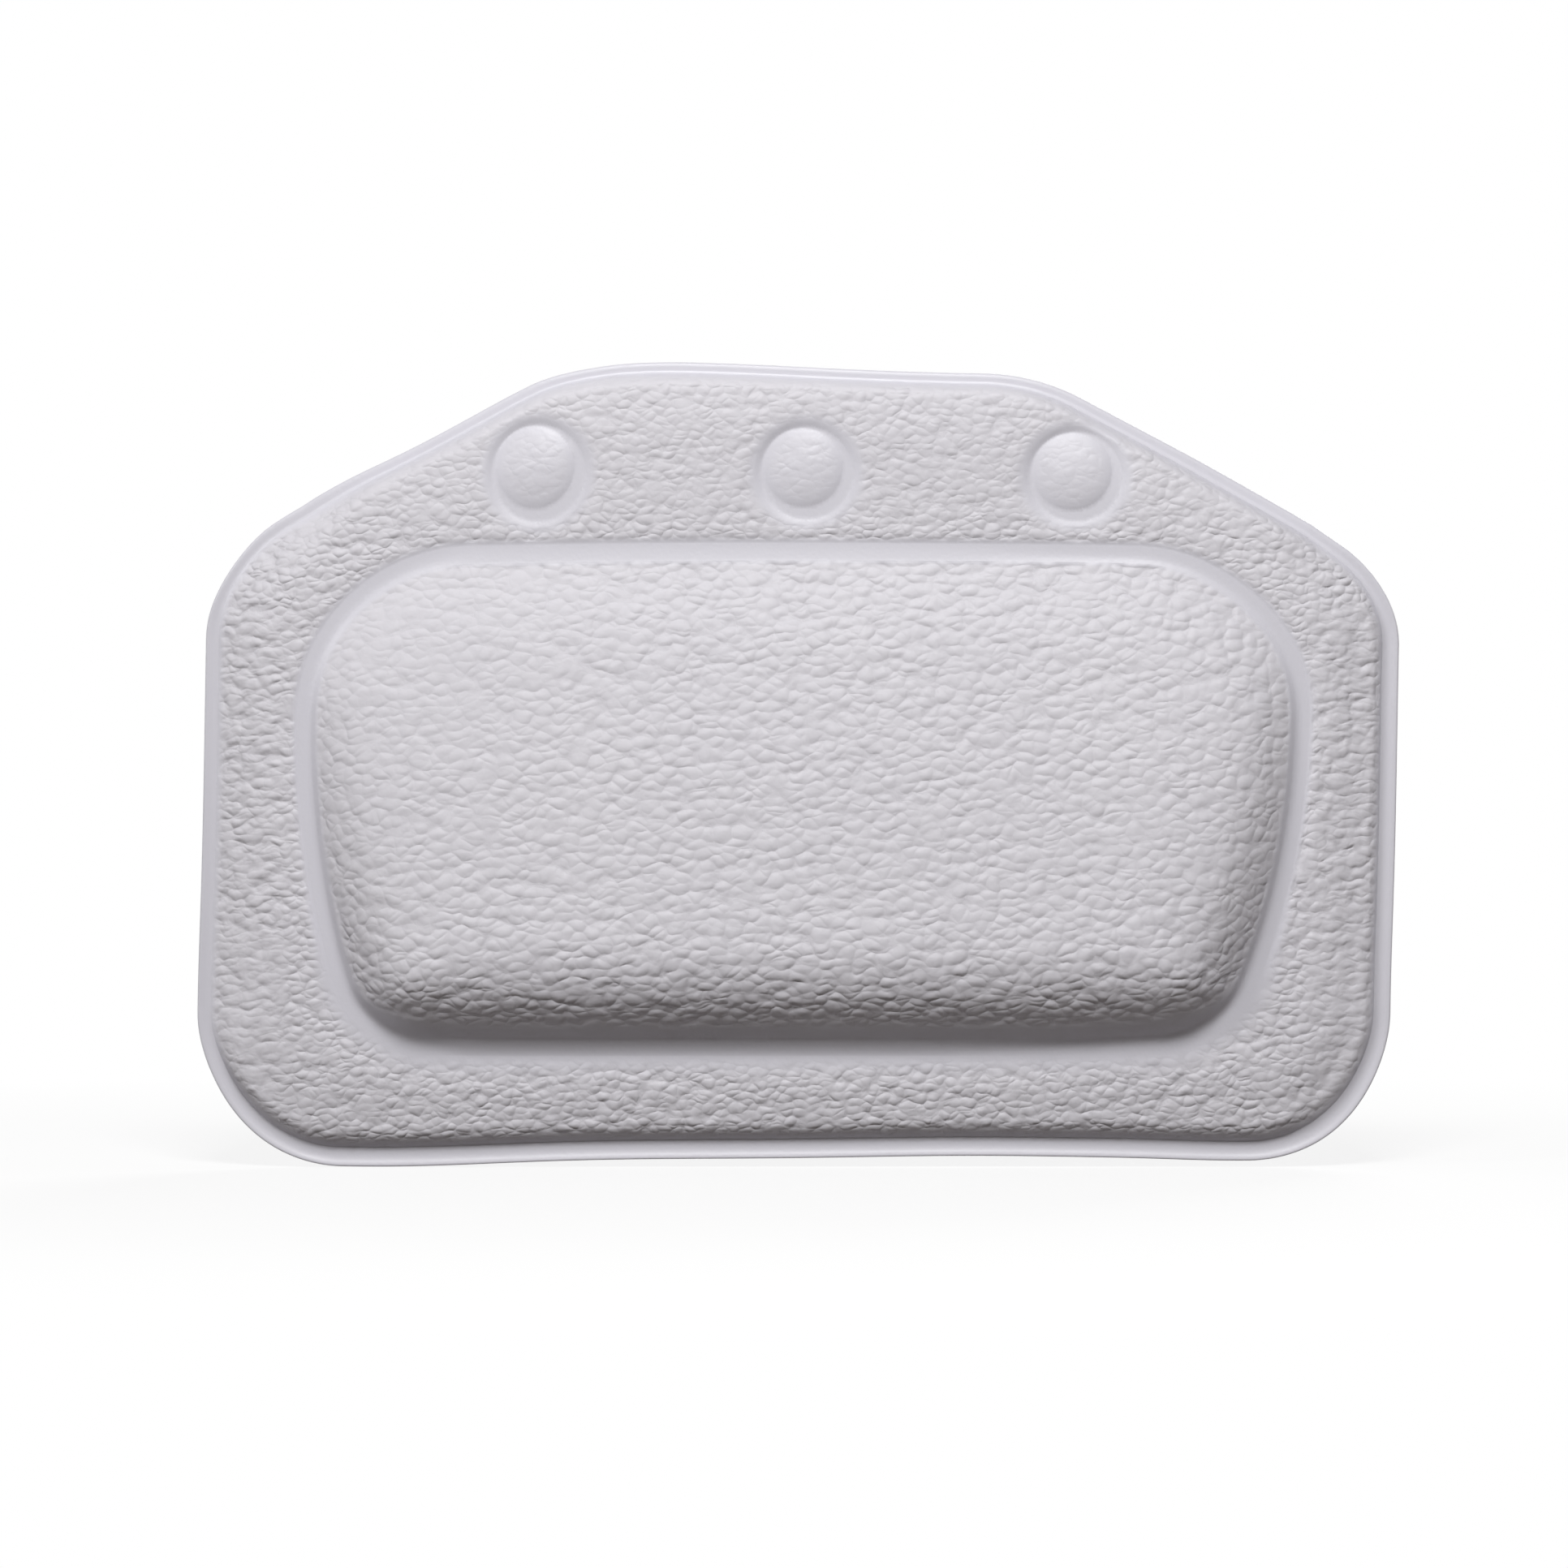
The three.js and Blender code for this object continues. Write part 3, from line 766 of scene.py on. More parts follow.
@dataclass(frozen=True)
class Emboss:
    """The leather-like relief of the face: rounded pebbles with creases between them, sizes in metres."""

    pebble: Pair = (0.0042, 0.0026)
    fold: Pair = (0.0085, 0.0030)
    crease: float = 0.5
    roundness: float = 0.8
    sway: float = 0.0018
    tilt: float = 0.07
    pressed: float = 0.00019
    shaded: float = 0.00041
    closeness: float = 1.28
    randomness: float = 0.95
    softness: float = 0.35
    reach: float = 0.75
    bend: Pair = (2.0, 1.8)
    drifts: tuple[Pair, ...] = ((0.0065, 1.0), (0.0021, 0.13))
    fold_share: float = 0.7
    patch_scale: float = 190.0
    patch_span: Pair = (0.3, 0.62)
    patch_least: float = 0.35

    def cells(self, wiring: Wiring, place: object, size: Pair) -> Socket:
        """Rounded cells, wider than they are high.

        Args:
            wiring: The tree that the relief is part of.
            place: The socket of the place on the smooth sheet.
            size: The cells' width and height.

        Returns:
            The socket of the height: 0 in a crease, 1 on a cell.
        """
        width, height = size
        at = wiring.arrow("DIVIDE", place, (width, height, height))
        cell = {"Vector": at, "Scale": 1.0, "Randomness": self.randomness}
        edge = wiring.node("ShaderNodeTexVoronoi", {"feature": "DISTANCE_TO_EDGE"}, **cell)
        inward = wiring.ranged(edge.outputs["Distance"], (0.0, self.crease), 1.0, 0.0)
        cell["Smoothness"] = self.softness
        middle = wiring.node("ShaderNodeTexVoronoi", {"feature": "SMOOTH_F1"}, **cell)
        outward = wiring.ranged(middle.outputs["Distance"], (0.0, self.reach), 0.0, 1.0)
        sharp = wiring.sum("MULTIPLY", wiring.sum("POWER", inward, self.bend[0]), 1.0 - self.roundness)
        soft = wiring.sum("MULTIPLY", wiring.sum("POWER", outward, self.bend[1]), self.roundness)
        return wiring.sum("SUBTRACT", 1.0, wiring.sum("ADD", sharp, soft))

    def wire(self, wiring: Wiring, place: object, side: object) -> Socket:
        """Adds the relief to a tree.

        Args:
            wiring: The tree of a material or of the press that forms the mesh.
            place: The socket of the place on the smooth sheet.
            side: The socket of how far the sheet is drawn into level folds.

        Returns:
            The socket of the height: 0 in the deepest crease, 1 on a pebble.
        """
        at = place
        for size, share in self.drifts:
            drift = wiring.node("ShaderNodeTexNoise", Vector=place, Scale=1.0 / size, Detail=1.0)
            centred = wiring.arrow("SUBTRACT", drift.outputs["Color"], (0.5, 0.5, 0.5))
            at = wiring.arrow("ADD", at, wiring.arrow("SCALE", centred, 2.0 * share * self.sway))
        level = {"rotation_type": "Y_AXIS"}
        turn = wiring.node("ShaderNodeVectorRotate", level, Vector=at, Angle=self.tilt)
        at = turn.outputs["Vector"]
        heights = [self.cells(wiring, at, size) for size in (self.pebble, self.fold)]
        height = wiring.mix("FLOAT", wiring.sum("MULTIPLY", side, self.fold_share), *heights)
        patch = wiring.node("ShaderNodeTexNoise", Vector=place, Scale=self.patch_scale, Detail=1.0)
        depth = wiring.ranged(patch.outputs["Fac"], self.patch_span, self.patch_least, 1.0)
        sunk = wiring.sum("MULTIPLY", wiring.sum("SUBTRACT", 1.0, height), depth)
        return wiring.sum("SUBTRACT", 1.0, sunk)

    def press(self, piece: Piece) -> None:
        """Presses the relief into a sheet that is marked with rest, side and emboss.

        Args:
            piece: The sheet, smooth so far.
        """
        tree = bpy.data.node_groups.new("emboss_press", "GeometryNodeTree")
        for way in ("INPUT", "OUTPUT"):
            tree.interface.new_socket("Sheet", in_out=way, socket_type="NodeSocketGeometry")
        wiring = Wiring(tree)
        source, sink = wiring.node("NodeGroupInput"), wiring.node("NodeGroupOutput")
        kinds = {"rest": "FLOAT_VECTOR", "side": "FLOAT", "emboss": "FLOAT"}
        stored = "GeometryNodeInputNamedAttribute"
        rest, side, emboss = (
            wiring.node(stored, {"data_type": kind}, Name=name).outputs["Attribute"]
            for name, kind in kinds.items()
        )
        height = wiring.sum("SUBTRACT", self.wire(wiring, rest, side), 1.0)
        lift = wiring.sum("MULTIPLY", wiring.sum("MULTIPLY", height, emboss), self.pressed)
        out = wiring.node("GeometryNodeInputNormal").outputs["Normal"]
        moved = wiring.node("GeometryNodeSetPosition", Geometry=source.outputs["Sheet"])
        wiring.feed(moved.inputs["Offset"], wiring.arrow("SCALE", out, lift))
        wiring.feed(sink.inputs["Sheet"], moved.outputs["Geometry"])
        piece.modifiers.new("emboss_press", "NODES").node_group = tree
        depsgraph = bpy.context.evaluated_depsgraph_get()
        piece.data = bpy.data.meshes.new_from_object(piece.evaluated_get(depsgraph))
        piece.modifiers.clear()
        bpy.data.node_groups.remove(tree)


def open_group(name: str, inputs: dict[str, float], outputs: tuple[str, ...]) -> tuple:
    """Starts a shader node group.

    Args:
        name: The group's name.
        inputs: Its number inputs with their first values, after a vector named Place.
        outputs: Its number outputs.

    Returns:
        The group, its wiring, its input node and its output node.
    """
    group = bpy.data.node_groups.new(name, "ShaderNodeTree")
    group.interface.new_socket("Place", in_out="INPUT", socket_type="NodeSocketVector")
    for label, value in inputs.items():
        socket = group.interface.new_socket(label, in_out="INPUT", socket_type="NodeSocketFloat")
        socket.default_value = value
    for label in outputs:
        group.interface.new_socket(label, in_out="OUTPUT", socket_type="NodeSocketFloat")
    wiring = Wiring(group)
    return group, wiring, wiring.node("NodeGroupInput"), wiring.node("NodeGroupOutput")


class Effects:
    """The shader node groups that several finishes share."""

    def __init__(self) -> None:
        """Builds each group once."""
        self.mottle = self.make_mottle()
        self.pores = self.make_pores()

    @staticmethod
    def make_mottle() -> bpy.types.NodeTree:
        """Uneven tone and gloss, as of calendered sheet that has been handled.

        Returns:
            A group with a broad Cloud and a small Fleck.
        """
        group, wiring, source, sink = open_group(
            "uneven_sheet", {"Cloud Size": 22.0, "Fleck Size": 260.0}, ("Cloud", "Fleck")
        )
        for label, detail in (("Cloud", 3.0), ("Fleck", 5.0)):
            made = wiring.node(
                "ShaderNodeTexNoise",
                Vector=source.outputs["Place"],
                Scale=source.outputs[f"{label} Size"],
                Detail=detail,
                Roughness=0.6,
            )
            wiring.feed(sink.inputs[label], made.outputs["Fac"])
        return group

    @staticmethod
    def make_pores() -> bpy.types.NodeTree:
        """Fine pores and wrinkles, finer than the meshes show.

        Returns:
            A group whose Height is 0 in a pore and 1 between them.
        """
        group, wiring, source, sink = open_group(
            "fine_pores", {"Pore Size": 900.0, "Wrinkle Size": 420.0}, ("Height",)
        )
        wrinkle = wiring.node(
            "ShaderNodeTexNoise",
            Vector=source.outputs["Place"],
            Scale=source.outputs["Wrinkle Size"],
            Detail=4.0,
            Roughness=0.55,
            Distortion=0.6,
        )
        pore = wiring.node(
            "ShaderNodeTexVoronoi",
            {"feature": "SMOOTH_F1"},
            Vector=source.outputs["Place"],
            Scale=source.outputs["Pore Size"],
            Smoothness=0.6,
        )
        pits = wiring.sum("MULTIPLY", pore.outputs["Distance"], 0.6)
        both = wiring.sum("ADD", wrinkle.outputs["Fac"], pits)
        wiring.feed(sink.inputs["Height"], wiring.sum("MULTIPLY", both, 0.6))
        return group


@dataclass(frozen=True)
class Finish:
    """What every finish has: a name, and a material that ends in one Principled shader."""

    name: str

    def inputs(self, wiring: Wiring, place: object, effects: Effects) -> dict[str, object]:
        """Wires what the finish gives to its shader, and returns that by name."""
        raise NotImplementedError

    def material(self, effects: Effects) -> Material:
        """Makes the material.

        Args:
            effects: The shared node groups.

        Returns:
            The material.
        """
        made = bpy.data.materials.new(self.name)
        made.use_nodes = True
        wiring = Wiring(made.node_tree)
        place = wiring.node("ShaderNodeTexCoord").outputs["Object"]
        shader = wiring.node("ShaderNodeBsdfPrincipled", **self.inputs(wiring, place, effects))
        wiring.node("ShaderNodeOutputMaterial", Surface=shader.outputs["BSDF"])
        return made


@dataclass(frozen=True)
class VinylFinish(Finish):
    """Soft white vinyl with a faint violet cast, smoother and cooler in tone where it is pressed."""

    tone: Colour = (0.70, 0.685, 0.725, 1.0)
    cloud_tone: Colour = (0.66, 0.645, 0.69, 1.0)
    pressed_tone: Colour = (0.67, 0.66, 0.715, 1.0)
    # Painted shade: the colour and share of the darkening painted into the emboss's creases.
    crease_painted_shade: Colour = (0.50, 0.485, 0.525, 1.0)
    crease_shade_share: float = 0.15
    roughness: Pair = (0.62, 0.52)
    pressed_roughness: float = 0.42
    pore_size: float = 900.0
    wrinkle_size: float = 420.0
    pore_depth: float = 0.05
    refraction: float = 1.5
    marked: bool = True
    emboss: Emboss | None = None

    def inputs(self, wiring: Wiring, place: object, effects: Effects) -> dict[str, object]:
        """Wires the sheet's uneven tone, its pores, its emboss with painted shade in its creases, and its
        pressed lines.

        Args:
            wiring: The material's tree.
            place: The socket of the place on the piece.
            effects: The shared node groups.

        Returns:
            The shader's inputs by name.
        """
        mottle = wiring.group(effects.mottle, Place=place)
        sizes = {"Pore_Size": self.pore_size, "Wrinkle_Size": self.wrinkle_size}
        pores = wiring.group(effects.pores, Place=place, **sizes)
        colour = wiring.mix("RGBA", mottle["Cloud"], self.tone, self.cloud_tone)
        rough = wiring.ranged(mottle["Fleck"], (0.0, 1.0), *self.roughness)
        normal = wiring.bump(pores["Height"], self.pore_depth * MM)
        if self.emboss:
            height = self.emboss.wire(wiring, wiring.stored("rest", "Vector"), wiring.stored("side"))
            sunk = wiring.sum("SUBTRACT", 1.0, height)
            sunk = wiring.sum("MULTIPLY", sunk, wiring.stored("emboss"))
            # Painted shade: the emboss's creases are darkened in colour where shade falls in them.
            crease_shading = wiring.sum("MULTIPLY", sunk, self.crease_shade_share)
            colour = wiring.mix("RGBA", crease_shading, colour, self.crease_painted_shade)
            normal = wiring.bump(sunk, self.emboss.shaded, invert=True, Normal=normal)
        if self.marked:
            pressed = wiring.stored("pressed")
            colour = wiring.mix("RGBA", pressed, colour, self.pressed_tone)
            rough = wiring.mix("FLOAT", pressed, rough, self.pressed_roughness)
        return {"Base_Color": colour, "Roughness": rough, "Normal": normal, "IOR": self.refraction}


@dataclass(frozen=True)
class FoamFinish(Finish):
    """Open-celled cream foam."""

    name: str = "cushion_foam_cells"
    tone: Colour = (0.74, 0.70, 0.58, 1.0)
    # Painted shade: the darker colour painted into the foam's pores.
    pore_painted_shade: Colour = (0.58, 0.53, 0.40, 1.0)
    roughness: Pair = (0.85, 0.98)
    cell_size: float = 700.0
    cell_depth: float = 0.4

    def inputs(self, wiring: Wiring, place: object, effects: Effects) -> dict[str, object]:
        """Wires the foam's cells, with painted shade in their pores.

        Args:
            wiring: The material's tree.
            place: The socket of the place on the piece.
            effects: The shared node groups.

        Returns:
            The shader's inputs by name.
        """
        mottle = wiring.group(effects.mottle, Place=place)
        height = wiring.group(effects.pores, Place=place, Pore_Size=self.cell_size)["Height"]
        return {
            # Painted shade: the foam is darker in its pores, where shade falls.
            "Base_Color": wiring.mix("RGBA", height, self.pore_painted_shade, self.tone),
            "Roughness": wiring.ranged(mottle["Fleck"], (0.0, 1.0), *self.roughness),
            "Normal": wiring.bump(height, self.cell_depth * MM),
        }


@dataclass(frozen=True)
class ClearFinish(Finish):
    """Clear soft vinyl, as moulded suction cups are made of."""

    name: str = "clear_cup_vinyl"
    tone: Colour = (0.90, 0.93, 0.95, 1.0)
    cloud_tone: Colour = (0.84, 0.88, 0.91, 1.0)
    roughness: Pair = (0.10, 0.24)
    cloud_size: float = 120.0
    cloud_depth: float = 0.05
    refraction: float = 1.52
    clearness: float = 0.86

    def inputs(self, wiring: Wiring, place: object, effects: Effects) -> dict[str, object]:
        """Wires the clear vinyl with its faint clouds.

        Args:
            wiring: The material's tree.
            place: The socket of the place on the piece.
            effects: The shared node groups.

        Returns:
            The shader's inputs by name.
        """
        mottle = wiring.group(effects.mottle, Place=place, Cloud_Size=self.cloud_size)
        return {
            "Base_Color": wiring.mix("RGBA", mottle["Cloud"], self.tone, self.cloud_tone),
            "Roughness": wiring.ranged(mottle["Fleck"], (0.0, 1.0), *self.roughness),
            "Normal": wiring.bump(mottle["Cloud"], self.cloud_depth * MM),
            "IOR": self.refraction,
            "Transmission_Weight": self.clearness,
        }


def hex_fill(form: PillowForm, step: float) -> Array:
    """Even points over the pillow's box, in staggered rows.

    Args:
        form: The pillow's sizes.
        step: How far apart the points are.

    Returns:
        Rows of x and z.
    """
    rows = np.arange(form.bottom, form.top, step * math.sqrt(0.75))
    columns = np.arange(-form.half_width, form.half_width, step)
    grid = [
        np.stack([columns + (step / 2.0 if i % 2 else 0.0), np.full(len(columns), z)], axis=1)
        for i, z in enumerate(rows)
    ]
    return np.concatenate(grid)


def circle(centre: Array, radius: float, step: float) -> Array:
    """Even points on a circle.

    Args:
        centre: Its x and z.
        radius: Its radius.
        step: About how far apart the points are.

    Returns:
        Rows of x and z.
    """
    count = max(6, round(2.0 * math.pi * radius / step))
    turn = np.arange(count) * 2.0 * math.pi / count
    return centre + radius * np.stack([np.cos(turn), np.sin(turn)], axis=1)


def triangulate(points: Array, edge_count: int) -> tuple[Array, Array]:
    """Joins points into triangles inside a cut edge.

    Args:
        points: Rows of x and z, the points of the cut edge first and in order.
        edge_count: How many points the cut edge has.

    Returns:
        The points and the triangles, which face out from the wall, without those of no area.
    """
    made = geometry.delaunay_2d_cdt(
        [Vector(point) for point in points], [], [list(range(edge_count))], 1, MERGE, False
    )
    points, faces = np.array([tuple(v) for v in made[0]]), np.array([tuple(f) for f in made[2]])
    first, second, third = (points[faces[:, i]] for i in range(3))
    (along, rise), (across, climb) = (second - first).T, (third - first).T
    return points, faces[along * climb - rise * across > SLIVER]


def mesh_piece(name: str, points: Array, faces: list | Array) -> Piece:
    """Makes a smooth-shaded piece from points in millimetres.

    Args:
        name: The piece's name.
        points: Rows of x, y and z.
        faces: The corners of each face.

    Returns:
        The new object.
    """
    mesh = bpy.data.meshes.new(name)
    mesh.from_pydata((np.asarray(points) * MM).tolist(), [], [list(map(int, f)) for f in faces])
    mesh.validate()
    mesh.shade_smooth()
    piece = bpy.data.objects.new(name, mesh)
    bpy.context.scene.collection.objects.link(piece)
    return piece


def spots(piece: Piece) -> Array:
    """A piece's points, as rows of x, y and z in metres."""
    flat = np.zeros(len(piece.data.vertices) * 3)
    piece.data.vertices.foreach_get("co", flat)
    return flat.reshape(-1, 3)


def mark(piece: Piece, name: str, values: Array) -> None:
    """Stores a number or a vector for each of a piece's points.

    Args:
        piece: The piece.
        name: The mark's name, which its material reads.
        values: The numbers, or rows of three.
    """
    values = np.asarray(values, np.float32)
    kind, field = ("FLOAT_VECTOR", "vector") if values.ndim == 2 else ("FLOAT", "value")
    piece.data.attributes.new(name, kind, "POINT").data.foreach_set(field, values.ravel())


def closed_layer(
    name: str, points: Array, faces: Array, front: Array, rear: Array
) -> Piece:
    """Closes a flat stretch of triangles into a layer between two depths.

    Args:
        name: The piece's name.
        points: Rows of x and z.
        faces: The triangles that the layer covers.
        front: The depth of its front at each point.
        rear: The depth of its rear at each point.

    Returns:
        The piece.
    """
    used, faces = np.unique(faces, return_inverse=True)
    faces, count = faces.reshape(-1, 3), len(used)
    sides = [np.stack([points[used, 0], -depth[used], points[used, 1]], axis=1) for depth in (front, rear)]
    pairs = np.concatenate([faces[:, [0, 1]], faces[:, [1, 2]], faces[:, [2, 0]]])
    seen = {tuple(pair) for pair in pairs.tolist()}
    rim = [(b, a, a + count, b + count) for a, b in seen if (b, a) not in seen]
    return mesh_piece(name, np.concatenate(sides), [*faces, *(faces[:, ::-1] + count), *rim])


@dataclass
class FoldedSheet:
    """What the two sheets and the border's foam share: the pillow's form, and a last step that bakes their
    place into their points.
    """

    form: PillowForm
    fold_half: float = 5.0

    def fold(self, piece: Piece) -> None:
        """Bakes a finished piece's place into its points.

        Args:
            piece: The piece, which has no parent.
        """
        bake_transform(piece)


@dataclass
class FaceSheet(FoldedSheet):
    """The embossed face: one sheet drawn over the cushion, the border and the flap's domes."""

    emboss: Emboss = Emboss()
    step: float = 0.95
    quick_step: float = 2.4
    # How the points are spread.
    edge_insets: Sizes = (0.0, 0.2, 0.6, 1.4, 2.2)
    pad_insets: Sizes = (0.0, 0.12, 0.4)
    pad_rows: Pair = (0.9, 6.5)
    wall_end: float = 3.0
    groove_run: float = 9.5
    dome_run: float = 13.0
    ring_run: float = 5.0
    fill_gap: float = 0.6
    floor_gap: float = 0.4
    # The wall of the cut edge.
    edge_wall: float = 0.45
    tuck: float = 0.94
    tuck_gap: float = 0.15
    # Where the emboss is drawn into folds, and how deep it is left.
    folds: tuple[Zone, Zone] = (Zone(138.0, 148.0), Zone(-30.0, -45.0))
    cushion_share: float = 0.92
    border_share: float = 1.1
    low_shares: Pair = (0.3, 0.05)
    flap_loss: float = 0.38
    side_gain: float = 0.4
    corner_at: Pair = (-98.0, -46.0)
    corner_loss: Hump = Hump(0.38, 0.0, 46.0)
    flap: Zone = Zone(-20.0, -8.0)
    low: Zone = Zone(-115.0, -150.0)
    side: Zone = Zone(138.0, 146.0)
    groove: Zone = Zone(-4.0, 4.0)
    name: str = "face_sheet_skin"

    def rings(self, step: float) -> tuple[Array, int]:
        """Points that follow the cut edge, the pad and the groove, closer together where it is steep.

        Args:
            step: About how far apart the points are along the face.

        Returns:
            The points with the cut edge first, and how many points the cut edge has.
        """
        form, gap = self.form, step * self.fill_gap
        shares = np.concatenate([self.pad_insets, np.arange(*self.pad_rows, step)])
        rows = form.outline().rows(step, self.edge_insets)
        edge_count = len(rows[0])
        rows += form.outline().rows(step, form.flange + shares, form.pad_shift)
        fine = np.linspace(0.0, form.wall_inset - self.wall_end, WALL_SAMPLES)
        climb = form.cushion_rise(fine, np.full(len(fine), form.band_bottom))
        climb = np.concatenate([[0.0], np.cumsum(np.hypot(np.diff(fine), np.diff(climb)))])
        wall = np.interp(np.linspace(0.0, climb[-1], round(climb[-1] / step)), climb, fine)
        start = -form.half_band - form.step_width
        groove = np.linspace(start, form.half_band, max(8, round(self.groove_run / step)))
        rows += form.band().rows(step, (*groove, -form.half_band, *(form.half_band + wall[1:])))
        fill = hex_fill(form, step)
        from_band = form.band().inset_of(fill)
        on_pad = (form.pad_inset(fill) > shares[-1] + gap) & (from_band < start - gap)
        on_crown = from_band > form.half_band + wall[-1] + gap
        points = np.concatenate([*rows, fill[on_pad | on_crown]])
        for place in FLAP_CUPS:
            points = self.with_dome(points, form.dome_centre(place), step, edge_count)
        return points, edge_count

    def with_dome(self, points: Array, centre: Array, step: float, edge: int) -> Array:
        """Swaps the points round one dome for circles that follow the dome and its ring.

        Args:
            points: All points so far.
            centre: The dome's x and z.
            step: About how far apart the points are along the face.
            edge: How many of the first points are the cut edge.

        Returns:
            The points with the dome's own.
        """
        form, gap, quarter = self.form, self.floor_gap * step, math.pi / 2.0
        ring_centre, reach = centre + form.ring_shift, form.ring_radius + form.ring_edge
        clear = distance_from(points, ring_centre) > reach + step * self.fill_gap
        clear[:edge] = True
        turns = np.linspace(0.0, quarter, max(5, round(self.dome_run / step)))
        rows = [circle(centre, form.dome_radius * math.sin(t), step) for t in turns[1:]]
        rows.append(centre[None, :])
        for share in 1.0 - np.cos(np.linspace(0.0, quarter, max(4, round(self.ring_run / step)))):
            rows.append(circle(ring_centre, form.ring_radius + form.ring_edge * share, step))
        floor = hex_fill(form, step)
        on_floor = distance_from(floor, centre) > form.dome_radius + gap
        on_floor &= distance_from(floor, ring_centre) < form.ring_radius - gap
        own = np.concatenate([*rows, floor[on_floor]])
        inside = distance_from(own, centre) <= form.dome_radius + NEAR
        apart = distance_from(own, ring_centre) >= form.ring_radius - NEAR
        return np.concatenate([points[clear], own[~(inside & apart)]])

    def build(self) -> Piece:
        """Forms and embosses the sheet.

        Returns:
            The piece, ready to dress.
        """
        form = self.form
        points, edge_count = self.rings(self.step)
        points, faces = triangulate(points, edge_count)
        across, up = form.lie.laid(points).T
        solid = np.stack([across, -form.weld_depth - form.face_rise(points), up], axis=1)
        piece = mesh_piece(self.name, solid, faces)
        pressed = form.pressed_share(points)
        in_band = smooth_step(-form.half_band, form.half_band, form.band().inset_of(points))
        drawn = in_band + (1.0 - in_band) * self.emboss.closeness
        mark(piece, "rest", solid * MM * drawn[:, None])
        mark(piece, "pressed", pressed)
        mark(piece, "side", self.folds[0].share(np.abs(across)) * self.folds[1].share(up))
        mark(piece, "emboss", (1.0 - pressed) * self.emboss_depth(points))
        self.turn_in_edge(piece)
        self.emboss.press(piece)
        return piece

    def emboss_depth(self, points: Array) -> Array:
        """How deep the emboss is left: drawn out over the cushion's upper left and on the flap.

        Args:
            points: Rows of x and z.

        Returns:
            A share for each row.
        """
        x, z = points.T
        in_band, low = self.groove.share(self.form.band().inset_of(points)), self.low.share(z)
        cushion = self.cushion_share - self.corner_loss.at(distance_from(points, self.corner_at))
        cushion = cushion + self.low_shares[0] * low
        border = self.border_share - self.flap_loss * self.flap.share(z) + self.low_shares[1] * low
        border = border + self.side_gain * (self.side.share(np.abs(x)) * (1.0 - low))
        return in_band * cushion + (1.0 - in_band) * border

    def turn_in_edge(self, piece: Piece) -> None:
        """Gives the cut edge its thickness and tucks the sheet in behind it.

        Args:
            piece: The face, open at its cut edge.
        """
        build = bmesh.new()
        build.from_mesh(piece.data)
        middle, under = self.form.centre[1] * MM, -(self.form.weld_depth - self.tuck_gap) * MM
        for pull in (1.0, self.tuck):
            edges = [edge for edge in build.edges if edge.is_boundary]
            made = bmesh.ops.extrude_edge_only(build, edges=edges)
            for spot in (x for x in made["geom"] if isinstance(x, bmesh.types.BMVert)):
                spot.co.x *= pull
                spot.co.z = middle + (spot.co.z - middle) * pull
                spot.co.y = spot.co.y + self.edge_wall * MM if pull == 1.0 else under
        build.verts.index_update()
        count = len(build.faces)
        build.faces.sort(key=lambda f: f.index if len(f.verts) == 3 else count + f.verts[0].index)
        bmesh.ops.recalc_face_normals(build, faces=build.faces)
        build.to_mesh(piece.data)
        build.free()
        piece.data.shade_smooth()

    def dress(self, piece: Piece, material: Material) -> None:
        """Gives the sheet its finish, hides the CAD sheets that it stands for and bakes its place.

        Args:
            piece: The built sheet.
            material: The face vinyl.
        """
        piece.data.materials.append(material)
        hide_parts("cushion_face_sheet", "flap_face_sheet")
        self.fold(piece)


